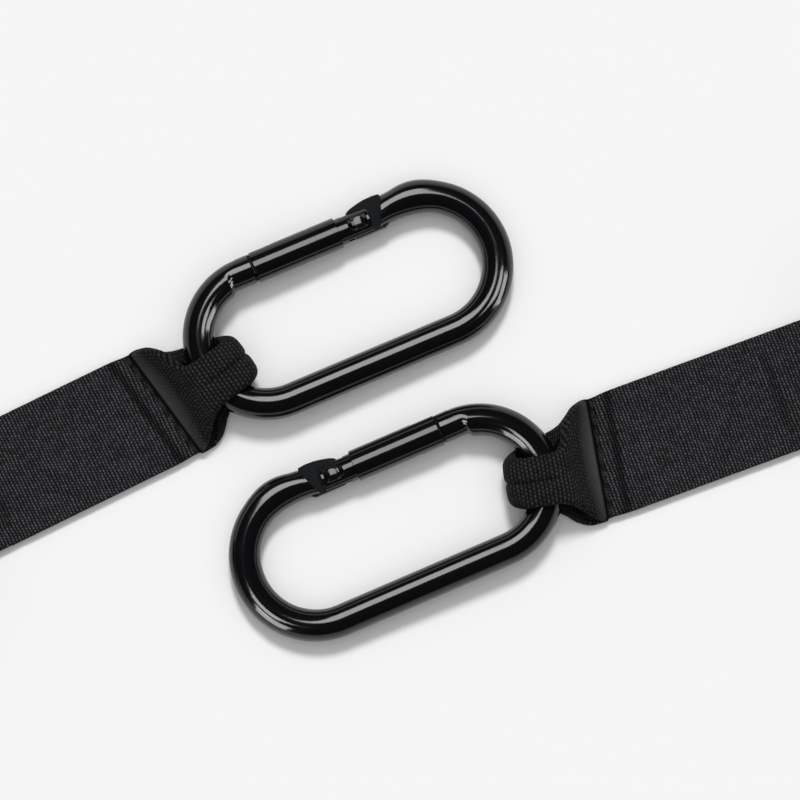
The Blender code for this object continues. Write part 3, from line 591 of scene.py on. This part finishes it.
def gateShape():
    # a turned bar: chamfered nose end, long plain body, turned-down neck and fork. The latch slot,
    # the fork's slot, the spring's bore and the rivet's recesses are cut out of it
    x0, y0 = hinge["rivet"]
    start, edge, fork = gate["start"], gate["edge"], hinge["forkRadius"]
    neck, end = x0 - hinge["neck"], x0 + hinge["forkEnd"]
    profile = [(start, 0.0), (start, 2.0), (start, barRadius - gate["steep"] * gate["chamfer"]),
               (start + gate["chamfer"], barRadius)]
    profile += [(x, barRadius) for x in np.linspace(gate["pinX"], neck - 2.0, 12)]
    profile += [(neck - edge, barRadius), (neck - 0.1, barRadius - 0.1), (neck, barRadius - edge),
                (neck + 0.05, fork + 0.05), (neck + 0.2, fork)]
    profile += [(x, fork) for x in np.linspace(neck + 1.5, end - 1.0, 6)]
    profile += [(end - 0.3, fork), (end - 0.1, fork - 0.1), (end, fork - 0.3), (end, 2.0), (end, 0.0)]
    body = lathedShape(profile[::-1], (0.0, y0, 0.0), sides=72)
    half, slot, far = hinge["slotHalf"], gate["slotHalf"], 9.0
    bottom, deep = hinge["slotBottom"], fork - hinge["recessDepth"]
    cutters = [blockShape((bottom, y0 - far, -half), (end + far, y0 + far, half)),
               blockShape((start - far, y0 - gate["slotFloor"], -slot), (gate["slotEnd"], y0 + far, slot)),
               rodShape(bottom - gate["boreLength"], bottom + 0.3, gate["boreRadius"],
                        (0.0, spring["axis"], 0.0), "X"),
               rodShape(deep, far, hinge["recessRadius"], (x0, y0, 0.0), sides=40),
               rodShape(-far, -deep, hinge["recessRadius"], (x0, y0, 0.0), sides=40)]
    return cutShape(body, cutters)


def rivetShape():
    # a shank with a shallow dome at each end, rounded over at its rim
    seat, rim = hinge["forkRadius"] - hinge["recessDepth"], hinge["headRim"]
    radius, curve, top = hinge["headRadius"], hinge["headCurve"], seat + hinge["headHeight"]
    r = np.linspace(0.0, radius - rim, 8)
    dome = list(zip(top - curve + np.sqrt(curve ** 2 - r ** 2), r))
    a = np.linspace(0.25, math.pi / 2, 5)
    dome += list(zip(dome[-1][0] - rim + rim * np.cos(a), radius - rim + rim * np.sin(a)))
    upper = dome + [(seat - 0.1, radius), (seat - 0.12, 1.2)]
    profile = upper + [(-height, r) for height, r in reversed(upper)]
    return lathedShape(profile, (*hinge["rivet"], 0.0), axis="Z", sides=40)


def pinShape():
    # the latch pin, painted over where it is flush with the gate
    return rodShape(gate["pinHalf"], -gate["pinHalf"], gate["pinRadius"],
                    (gate["pinX"], hinge["rivet"][1], 0.0), caps=True)


spring = {"wire": 0.6, "turns": 9, "coil": 1.5, "start": 14.6, "end": 29.9, "axis": 20.0, "shorter": 1.27}


def springShape():
    # a circle carried along a helix in the gate's bore
    turn = np.linspace(0.0, spring["turns"] * 2 * math.pi, spring["turns"] * 20 + 1)
    share = turn / turn[-1]
    x = spring["start"] + (spring["end"] - spring["start"]) * share
    helix = np.column_stack([x, spring["axis"] + spring["coil"] * np.cos(turn),
                             spring["coil"] * np.sin(turn)])
    way = unit(np.gradient(helix, axis=0))
    out = np.column_stack([0.0 * turn, np.cos(turn), np.sin(turn)])
    return tubeShape(helix, out, np.cross(out, way), spring["wire"] / 2, 8)


metal = {}
for name, shape, material, body, node, sharp in (
        ("BarBody", barShape(), coat, "carabiner_unit", "carabiner_body", 30.0),
        ("HingeTongue", tongueShape(), milledCoat, "carabiner_unit", None, None),
        ("NoseHook", hookShape(), milledCoat, "carabiner_unit", None, None),
        ("Gate", gateShape(), coat, "gate_unit", "gate", 30.0),
        ("HingeRivet", rivetShape(), coat, "carabiner_unit", "hinge_rivet", 35.0),
        ("LatchPin", pinShape(), coat, "gate_unit", "latch_pin", 35.0),
        ("GateSpring", springShape(), steel, "gate_unit", "gate_spring", None)):
    metal[name] = addPair(name, shape, carabinerSpot, material, body, node, sharp)
evenNormals(metal["HingeTongue"] + metal["NoseHook"])
turnedNormals(metal["Gate"], carabinerSpot, (0.0, hinge["rivet"][1], 0.0))
for side, piece in zip(sides, metal["GateSpring"]):
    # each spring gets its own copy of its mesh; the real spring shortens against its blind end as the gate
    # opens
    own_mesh(piece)
print("carabiners made")


# Webbing

webbing = {"width": 38.0, "thickness": 1.35}


def webbingShape(middle, along, across, thickness=webbing["thickness"]):
    # a sheet of even thickness round the grid of its middle points, with round edges: the cross
    # section goes over the top, round one edge, back below and round the other edge
    normal = unit(np.cross(np.gradient(middle, axis=0), np.gradient(middle, axis=1)))
    half = thickness / 2
    outRight = unit(middle[:, -1] - middle[:, -2])
    outLeft = unit(middle[:, 0] - middle[:, 1])
    bend = np.radians([65.0, 35.0, 0.0, -35.0, -65.0])

    def edge(base, out, up, angles):
        return base[:, None] + half * (out[:, None] * np.cos(angles)[:, None] +
                                       up[:, None] * np.sin(angles)[:, None])

    loop = np.concatenate([middle + half * normal, edge(middle[:, -1], outRight, normal[:, -1], bend),
                           (middle - half * normal)[:, ::-1],
                           edge(middle[:, 0], outLeft, normal[:, 0], bend[::-1])], axis=1)
    u = np.broadcast_to(along if along.ndim == 2 else along[:, None], middle.shape[:2])
    v = np.broadcast_to(across, middle.shape[:2])
    spare = np.ones((1, 5))
    uGrid = np.concatenate([u, u[:, -1:] * spare, u[:, ::-1], u[:, :1] * spare, u[:, :1]], axis=1)
    vEdge = half * np.sin(np.pi / 2 - np.abs(bend))
    vGrid = np.concatenate([v, v[:, -1:] + vEdge, v[:, ::-1], v[:, :1] - vEdge, v[:, :1]], axis=1)
    return gridShape(loop, closedRound=True, uv=np.stack([uGrid, vGrid], axis=-1), caps=True)


def acrossWebbing(count):
    # places across the webbing between its round edges
    return np.linspace(-1.0, 1.0, count) * (webbing["width"] - webbing["thickness"]) / 2


def gridPoints(x, y, z):
    return np.stack(np.broadcast_arrays(x, y, z), axis=-1)


def pathLength(points):
    step = np.linalg.norm(np.diff(points, axis=0), axis=-1)
    return np.concatenate([[0.0], np.cumsum(step)])


# edges of the loop seen from above, as (place along it, gate side, spine side) of its upper and its
# lower leg; the seam is at place 16.5 and the bar's middle at 0
eye = {"leg": 16.5, "turn": -3.0, "tip": -12.6, "top": 15.75, "low": 0.8, "seamTop": 2.4, "seamLow": 0.75,
       "skew": 10.3, "fold": 0.8, "crease": 0.65, "creaseWidth": 0.8, "crown": 0.5, "tipRound": 2.0,
       "spread": 0.017, "tuck": 0.9,
       "upper": ((-3.0, 6.0, -9.7), (3.0, 6.2, -9.9), (5.5, 6.8, -10.5), (6.8, 8.4, -11.0),
                 (8.0, 13.6, -11.6), (9.8, 17.0, -12.9), (12.1, 19.8, -14.6), (16.5, 22.3, -17.5)),
       "around": ((0.0, 6.0, -9.7), (0.5, 8.0, -8.8), (0.85, 9.4, -8.8), (1.0, 11.0, -10.0)),
       "lower": ((-3.0, 11.0, -10.0), (1.7, 13.3, -11.4), (4.5, 14.2, -13.4), (7.2, 15.6, -15.8),
                 (9.8, 18.2, -17.1), (12.0, 20.4, -17.6), (16.5, 22.3, -17.5))}


def readEdges(place, table):
    # straight lines between the table's rows, rounded by averaging over a short stretch
    at, gateSide, spineSide = np.array(table).T
    blur = (at[-1] - at[0]) * np.linspace(-0.035, 0.035, 5)
    return [np.mean([np.interp(place + b, at, side) for b in blur], axis=0)
            for side in (gateSide, spineSide)]


def eyeShape():
    # the webbing's width is carried round the loop, from the seam over the bar, round the tip and
    # back below. Its middle part is flat between the two edges; what is wider than that turns
    # inwards in a half circle and lies against the flat part's inner side
    leg, turn, tip, top, low = (eye[key] for key in ("leg", "turn", "tip", "top", "low"))
    xUp = np.linspace(leg, turn, 52)
    zUp = eye["seamTop"] + (top - eye["seamTop"]) * np.sin(
        np.clip((leg - xUp) / (leg - 1.5), 0, 1) * math.pi / 2) ** 1.1
    a = np.linspace(math.pi / 2, 3 * math.pi / 2, 34)[1:-1]
    xTip = turn + (turn - tip) * np.cos(a)
    mid, half = (top + low) / 2, (top - low) / 2
    zTip = mid + half * np.sign(np.sin(a)) * np.abs(np.sin(a)) ** 0.85
    xLow = np.linspace(turn, leg, 40)
    zLow = low + (eye["seamLow"] - low) * ease((xLow - 8.0) / (leg - 8.0))
    x, z = np.concatenate([xUp, xTip, xLow]), np.concatenate([zUp, zTip, zLow])
    edges = [np.concatenate(side) for side in zip(readEdges(xUp, eye["upper"]),
                                                  readEdges((1 - np.sin(a)) / 2, eye["around"]),
                                                  readEdges(xLow, eye["lower"]))]
    reachOut = (edges[0] - edges[1]) / 2 - webbing["thickness"] / 2
    centre = (edges[0] + edges[1]) / 2
    tipShare = np.concatenate([0.0 * xUp, np.cos(a) ** 2, 0.0 * xLow])

    t = acrossWebbing(71)
    reach = np.abs(t) * (1.0 + eye["spread"] * (1 - ease((leg - x) / 6.0)))[:, None]
    fold = eye["fold"]
    flatHalf = (reachOut - fold)[:, None]
    beyond = np.maximum(reach - flatHalf, 0.0)
    angle = np.minimum(beyond / fold, math.pi)
    under = np.maximum(beyond - math.pi * fold, 0.0) * eye["tuck"]
    y = np.minimum(reach, flatHalf) + fold * np.sin(angle) - under
    inwards = fold * (1 - np.cos(angle))
    fade = (ease((6.0 - x) / 6.0) * np.where(np.arange(len(x)) < len(x) - 40, 1.0, 0.0))[:, None]
    share = np.clip(np.abs(y) / reachOut[:, None], 0, 1)
    inwards = inwards + eye["crown"] * share ** 4 * fade + (eye["tipRound"] * tipShare)[:, None] * share ** 8
    inwards = inwards + eye["crease"] * np.exp(-(y / eye["creaseWidth"]) ** 2) * fade * (angle < 1.5)

    way = unit(np.column_stack([np.gradient(x), np.gradient(z)]))
    inward = np.column_stack([-way[:, 1], way[:, 0]])
    middle = np.stack([x[:, None] + inward[:, :1] * inwards, np.sign(t) * y + centre[:, None],
                       z[:, None] + inward[:, 1:] * inwards], axis=-1)
    # the weave follows the cloth: halfway between the loop's own length and each line's length
    along = pathLength(np.column_stack([x, z]))[:, None]
    lines = np.linalg.norm(np.diff(middle, axis=0, prepend=middle[:1]), axis=-1).cumsum(axis=0)
    along = (along + lines[:, ::-1]) / 2
    return webbingShape(middle[:, ::-1], along, t[::-1])


# a dip is (place from the seam, half length, depth, how square it is): the seam, the row of stitches
# next to it, the flap's second row, the swell between them and the bar tack
run = {"length": 84.0, "height": 2.55, "flapLength": 62.0, "flapHeight": 0.75, "gap": 0.15,
       "stitchRow": 1.4, "barTack": 60.0, "narrow": 0.022,
       "dips": ((0.0, 0.6, 0.9, 2), (1.4, 0.4, 0.30, 2), (6.5, 1.0, 0.22, 2), (3.9, 1.3, -0.15, 2),
                (60.0, 1.9, 0.25, 4))}


def runShape(length, height, relief):
    # a flat strap that starts along the slanting seam; each dip lowers it by
    # depth * exp(-((distance - place) / half length) ^ squareness)
    y = acrossWebbing(27)
    start = y * math.tan(math.radians(eye["skew"])) + run["gap"]
    d = np.concatenate([np.linspace(0, 10, 60), np.linspace(10.5, length - 7, 70),
                        np.linspace(length - 6.5, length, 12)])[:, None]
    x = start + d * ((length - start) / length)
    z = np.full(d.shape, height)
    for place, half, depth, square in run["dips"] if relief else ():
        z = z - depth * np.exp(-((d - place) / half) ** square)
    edge = 1.0 - run["narrow"] * np.exp(-((d - 1.5) / 3.5) ** 2)
    return webbingShape(gridPoints(x, y * edge, z), x, y)


def stripShape(path):
    # webbing of even width along a path of (x, z) places
    path, y = np.array(path), acrossWebbing(15)
    middle = gridPoints(path[:, :1], y, path[:, 1:])
    return webbingShape(middle, pathLength(path), y)


hank = {"length": 120.0, "layers": 15, "pitch": 2.0, "wander": 0.9, "nearGap": 1.8, "farGap": 1.5}


def hankPath():
    # layers joined by half-round folds; each fold lies a little off the last
    bend = hank["pitch"] / 2
    near, far = run["length"] + hank["nearGap"], run["length"] + hank["length"] - hank["farGap"] - bend
    path = [(run["length"] + run["gap"], run["height"])]
    for layer in range(hank["layers"] - 1):
        height = run["height"] + layer * hank["pitch"]
        off = hank["wander"] * (0.5 + 0.5 * math.sin(2.4 * layer))
        outward = layer % 2 == 0
        centre = (far - off if outward else near + bend + off, height + bend)
        turn = (-math.pi / 2, math.pi / 2) if outward else (3 * math.pi / 2, math.pi / 2)
        fold = arcPoints(centre, bend, *turn, 9)
        lastX = path[-1][0]
        path += [(lastX + (fold[0, 0] - lastX) * s, height) for s in (0.06, 0.25, 0.5, 0.75, 0.94)]
        path += [tuple(p) for p in fold]
    end = run["length"] + hank["length"] - run["gap"]
    path += [(path[-1][0] + (end - path[-1][0]) * s, topLayer) for s in (0.06, 0.3, 0.6, 0.8, 0.95, 1.0)]
    return path


ringEnd = {"lead": 40.0, "flap": 30.0, "leg": 36.0, "section": 28.0, "radius": 104.0, "height": 15.95,
           "slack": 0.45, "half": 0.75, "mouth": 0.9}
seamX = run["length"] + hank["length"] + ringEnd["lead"]
topLayer = run["height"] + (hank["layers"] - 1) * hank["pitch"]


def leadPath(start, end, drop):
    # from the folds' top layer down to the ring's middle, level at both ends
    foot = ringEnd["height"] + ringEnd["mouth"]
    begin = run["length"] + hank["length"]
    x = np.linspace(start, end, 40)
    z = topLayer + (foot - topLayer) * ease((x - begin) / ringEnd["lead"]) - drop
    return np.column_stack([x, z])


def ringEyeShape():
    # from the seam round the ring's section and back, with the far side following the ring's curve
    radius = ringEnd["section"] / 2 + ringEnd["slack"] + ringEnd["half"]
    middleX, seam = seamX + ringEnd["leg"], seamX + run["gap"]
    mouth, level = ringEnd["mouth"], ringEnd["height"]
    lean = math.acos((radius - mouth) / (middleX - seam))
    a = np.linspace(math.pi - lean, lean - math.pi, 61)[:, None]
    y = acrossWebbing(15)
    curve = y ** 2 / (2 * ringEnd["radius"])
    x = middleX + radius * np.cos(a) + curve * ease(0.5 + 2.0 * np.cos(a))
    z = level + radius * np.sin(a) + 0.0 * curve
    leg = np.linspace(0.0, 1.0, 12)[:-1, None]
    x = np.concatenate([seam + (x[0] - seam) * leg, x, seam + (x[-1] - seam) * leg[::-1]])
    z = np.concatenate([level + mouth + (z[0] - level - mouth) * leg, z,
                        level - mouth + (z[-1] - level + mouth) * leg[::-1]])
    middle = gridPoints(x, y, z)
    return webbingShape(middle, pathLength(middle[:, 7]), y)


eyes = addPair("CarabinerEye", eyeShape(), eyeSpot, loopCloth, "eye_unit", "carabiner_eye")
leadStart, leadEnd = run["length"] + hank["length"] + run["gap"], seamX - run["gap"]
flapStart = seamX - ringEnd["flap"]
for name, shape, cloth, node in (
        ("StrapRun", runShape(run["length"] - run["gap"], run["height"], True), seamCloth, "strap_run"),
        ("EyeFlap", runShape(run["flapLength"], run["flapHeight"], False), strapCloth, "eye_flap"),
        ("StrapHank", stripShape(hankPath()), strapCloth, "strap_hank"),
        ("RingLead", stripShape(leadPath(leadStart, leadEnd, 0.0)), strapCloth, "ring_lead"),
        ("RingEyeFlap", stripShape(leadPath(flapStart, leadEnd, 2 * ringEnd["mouth"])), strapCloth,
         "ring_eye_flap")):
    addPair(name, shape, strapSpot, cloth, "strap_unit", node)
ringEyes = addPair("RingEye", ringEyeShape(), strapSpot, strapCloth, "ring_eye_unit", "ring_eye")


def bendAcross(pieces):
    # each piece leaves its body and keeps its place, with its transform baked into its points
    for side, piece in zip(sides, pieces):
        piece.parent = None
        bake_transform(piece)


bendAcross(eyes)
bendAcross(ringEyes)
print("webbing made")


keeper = {"width": 25.0, "thickness": 1.4, "clearance": 0.3, "half": 0.75, "low": 0.75, "over": 1.8,
          "corner": 1.6, "edge": 0.6, "tab": 34.0, "tabShift": 3.0, "tabThickness": 1.2, "tabWave": 0.12}
keeperX = run["length"] + hank["length"] / 2


def keeperShape():
    # a closed band: its outline with round corners has a thickness and is drawn out along the strap
    corner = keeper["corner"]
    side = webbing["width"] / 2 + keeper["clearance"] + keeper["half"] - corner
    low, high = keeper["low"] + corner, topLayer + keeper["over"] - corner
    centres = ((side, high), (-side, high), (-side, low), (side, low))
    loop = np.concatenate([arcPoints(centre, corner, quarter * math.pi / 2, (quarter + 1) * math.pi / 2, 7)
                           for quarter, centre in enumerate(centres)])
    way = unit(np.roll(loop, -1, axis=0) - np.roll(loop, 1, axis=0))
    out = np.column_stack([way[:, 1], -way[:, 0]]) * keeper["thickness"] / 2
    rings = []
    for face in (1.0, -1.0):
        for x, share in ((-1.0, keeper["edge"]), (-0.98, 1.0), (0.98, 1.0), (1.0, keeper["edge"])):
            place = np.full(len(loop), keeperX + face * x * keeper["width"] / 2)
            rings.append(np.column_stack([place, loop + out * face * share]))
    return gridShape(np.stack(rings, axis=1), closedLong=True, closedRound=True)


def tabShape():
    # the band's free end, pressed down on top of it
    y = np.linspace(-keeper["tab"] / 2, keeper["tab"] / 2, 24) + keeper["tabShift"]
    z = topLayer + keeper["over"] + keeper["thickness"] + keeper["tabWave"] * np.sin(y / 4.0) + 0.1
    x = np.linspace(-1, 1, 9) * (keeper["width"] / 2 - 1.0) + keeperX
    middle = gridPoints(x, y[:, None], z[:, None])
    return webbingShape(middle[::-1], y, x, keeper["tabThickness"])


addPair("HankKeeper", keeperShape(), strapSpot, velcro, "strap_unit", "hank_keeper", 40.0)
addPair("KeeperTab", tabShape(), strapSpot, velcro, "strap_unit")


def ringShape():
    # a circle carried round a circle; u runs round the ring and v round its section
    u = np.arange(241) * 2 * math.pi / 240
    v = np.arange(65) * 2 * math.pi / 64
    a, b = np.meshgrid(u, v, indexing="ij")
    r = ringEnd["section"] / 2
    out = ringEnd["radius"] + r * np.cos(b)
    points = np.stack([out * np.cos(a), out * np.sin(a), r * np.sin(b)], axis=-1)
    uv = np.stack([a * ringEnd["radius"], b * r], axis=-1)
    return gridShape(points[:-1, :-1], True, True, uv)


addPair("WoodenRing", ringShape(), ringSpot, wood, "ring_unit", "wooden_ring", None)
print("keepers and rings made")


# Stitching

stitch = {"pitch": 2.6, "radius": 0.22, "rise": 0.28, "sunk": 0.16, "reach": 17.6, "below": 0.2,
          "tackReach": 13.5, "tackHalf": 1.35, "tackTurns": 64, "tackRadius": 0.2}
stitchHeight = run["height"] + webbing["thickness"] / 2 - stitch["below"]


def threadShape(points, radius):
    # a round thread along a list of places
    way = unit(np.gradient(points, axis=0))
    side = unit(np.cross(way, [0.0, 0.0, 1.0]) + 1e-9)
    return tubeShape(points, side, np.cross(side, way), radius, 5)


def stitchRow():
    # raised stitches along the seam, each a shallow hump that dives into the cloth at both ends
    reach = np.array([math.tan(math.radians(eye["skew"])), 1.0]) * stitch["reach"]
    start, end = np.array([run["gap"] + run["stitchRow"], 0.0]) + np.array([-reach, reach])
    count = max(1, int(np.linalg.norm(end - start) / stitch["pitch"]))
    way = (end - start) / count
    share = np.linspace(0.08, 0.92, 7)
    hump = stitchHeight + np.sin(np.linspace(0, math.pi, 7)) * stitch["rise"] - stitch["sunk"]
    return joinShapes([threadShape(np.column_stack([start + way * (k + share[:, None]), hump]),
                                   stitch["radius"]) for k in range(count)])


def barTackShape():
    # a dense zigzag across the strap
    y = np.linspace(-stitch["tackReach"], stitch["tackReach"], stitch["tackTurns"])
    x = run["barTack"] + stitch["tackHalf"] * np.where(np.arange(len(y)) % 2 == 0, -1.0, 1.0)
    return threadShape(np.column_stack([x, y, np.full(len(y), stitchHeight)]), stitch["tackRadius"])


addPair("SeamStitches", stitchRow(), strapSpot, thread, "strap_unit")
addPair("BarTack", barTackShape(), strapSpot, thread, "strap_unit")
print("stitches made")


# Floor, light and camera

def makeFloor():
    material, _, shader = newMaterial("paleFloor", (light["backdrop"],) * 3, 0.9)
    setInputs(shader, {"Specular IOR Level": 0.0})
    size, low = 4.0, -0.0003
    mesh = bpy.data.meshes.new("floor")
    mesh.from_pydata([(-size, -size, low), (size, -size, low), (size, size, low), (-size, size, low)],
                     [], [(0, 1, 2, 3)])
    mesh.materials.append(material)
    addObject("floor", mesh)


# each box is (degrees from straight up, degrees from the picture's right, width and height in
# degrees, glow, the one bar that it lights or None for the gates and the other small parts); only
# the gloss of the coating shows them
light = {"keyShare": 0.48, "keyHeight": 57.0, "keySoftness": 13.0, "level": 3.19, "distance": 1.5,
         "backdrop": 0.905, "horizon": 0.80, "ceiling": 0.01, "overhead": 2.0,
         "boxes": ((20.0, 110.0, 30.0, 34.0, 6.4, None),
                   (29.0, 100.0, 20.0, 34.0, 8.0, 0), (29.0, 127.0, 20.0, 34.0, 8.0, 1),
                   (74.0, -8.0, 24.0, 34.0, 8.0, 0), (66.0, 232.0, 24.0, 30.0, 8.0, 1),
                   (31.0, 3.0, 15.0, 20.0, 9.0, 0), (31.0, 221.0, 15.0, 20.0, 9.0, 1),
                   (55.0, 0.0, 12.0, 9.0, 5.0, 0), (55.0, 224.0, 12.0, 9.0, 5.0, 1))}
view = {"azimuth": -23.2, "elevation": 84.5, "lens": 150.0, "distance": 1.0355,
        "target": (0.00918, 0.02629, 0.007)}


def pictureAxes():
    # the directions of the picture's right and up on the floor
    azimuth = math.radians(view["azimuth"])
    return (Vector((math.cos(azimuth), math.sin(azimuth), 0.0)),
            Vector((-math.sin(azimuth), math.cos(azimuth), 0.0)))


def pointAt(item, direction):
    item.rotation_mode = "QUATERNION"
    item.rotation_quaternion = Vector(direction).to_track_quat("-Z", "Y")


def makeWorld(fill):
    # a fill that grows with height towards overhead; gloss sees a pale horizon under a dark ceiling,
    # and the camera a pale backdrop
    world = bpy.data.worlds.new("studio")
    bpy.context.scene.world = world
    world.use_nodes = True
    tree = world.node_tree
    ray = addNode(tree, "LightPath").outputs
    way = addNode(tree, "TexCoord").outputs["Generated"]
    height = addNode(tree, "SeparateXYZ", {"Vector": way}).outputs[2]
    studio = mapRange(height, 0.16, 0.30, light["horizon"], light["ceiling"])
    power = light["overhead"]
    soft = times(doMath("POWER", doMath("MAXIMUM", height, 0.0), power), fill * (power + 2.0) / 2.0)
    glow = mixValues(ray["Is Glossy Ray"], soft, studio)
    seen = doMath("MAXIMUM", ray["Is Camera Ray"], ray["Is Transmission Ray"])
    setInputs(tree.nodes["Background"], {"Color": (1.0, 1.0, 1.0, 1.0),
                                         "Strength": mixValues(seen, glow, light["backdrop"])})


def makeLight():
    pictureRight, pictureUp = pictureAxes()
    height = math.radians(light["keyHeight"])
    key = bpy.data.lights.new("keyLight", "SUN")
    key.energy = light["level"] * light["keyShare"] / math.sin(height)
    key.angle = math.radians(light["keySoftness"])
    keyObject = addObject("keyLight", key)
    pointAt(keyObject, -(pictureUp * math.cos(height) + Vector((0, 0, math.sin(height)))))
    keyObject.visible_glossy = False
    makeWorld(light["level"] / math.pi * (1 - light["keyShare"]))

    bars = metal["BarBody"]
    for number, (off, towards, wide, high, glow, only) in enumerate(light["boxes"]):
        off, towards, wide, high = (math.radians(value) for value in (off, towards, wide, high))
        aside = pictureRight * math.cos(towards) + pictureUp * math.sin(towards)
        direction = aside * math.sin(off) + Vector((0, 0, math.cos(off)))
        box = bpy.data.lights.new("glossBox%d" % number, "AREA")
        box.shape = "RECTANGLE"
        box.size = 2 * light["distance"] * math.tan(wide / 2)
        box.size_y = 2 * light["distance"] * math.tan(high / 2)
        box.energy = glow * math.pi * box.size * box.size_y
        boxObject = addObject(box.name, box)
        boxObject.location = Vector(view["target"]) + direction * light["distance"]
        pointAt(boxObject, -direction)
        boxObject.visible_diffuse = False
        lit = bpy.data.collections.new(box.name)
        for item in [bars[only]] if only is not None else bars + metal["HingeTongue"] + metal["NoseHook"]:
            lit.objects.link(item)
        for member in lit.collection_objects:
            member.light_linking.link_state = "EXCLUDE" if only is None else "INCLUDE"
        boxObject.light_linking.receiver_collection = lit


def makeCamera():
    e = math.radians(view["elevation"])
    right, up = pictureAxes()
    back = Vector((0, 0, math.sin(e))) - up * math.cos(e)
    data = bpy.data.cameras.new("camera")
    data.lens, data.sensor_width = view["lens"], 36.0
    camera = addObject("camera", data)
    turn = Matrix((right, back.cross(right), back)).transposed().to_4x4()
    camera.matrix_world = Matrix.Translation(Vector(view["target"]) + back * view["distance"]) @ turn
    bpy.context.scene.camera = camera


makeFloor()
makeLight()
makeCamera()
bpy.context.scene.view_settings.view_transform = "Standard"
print("floor, light and camera made")
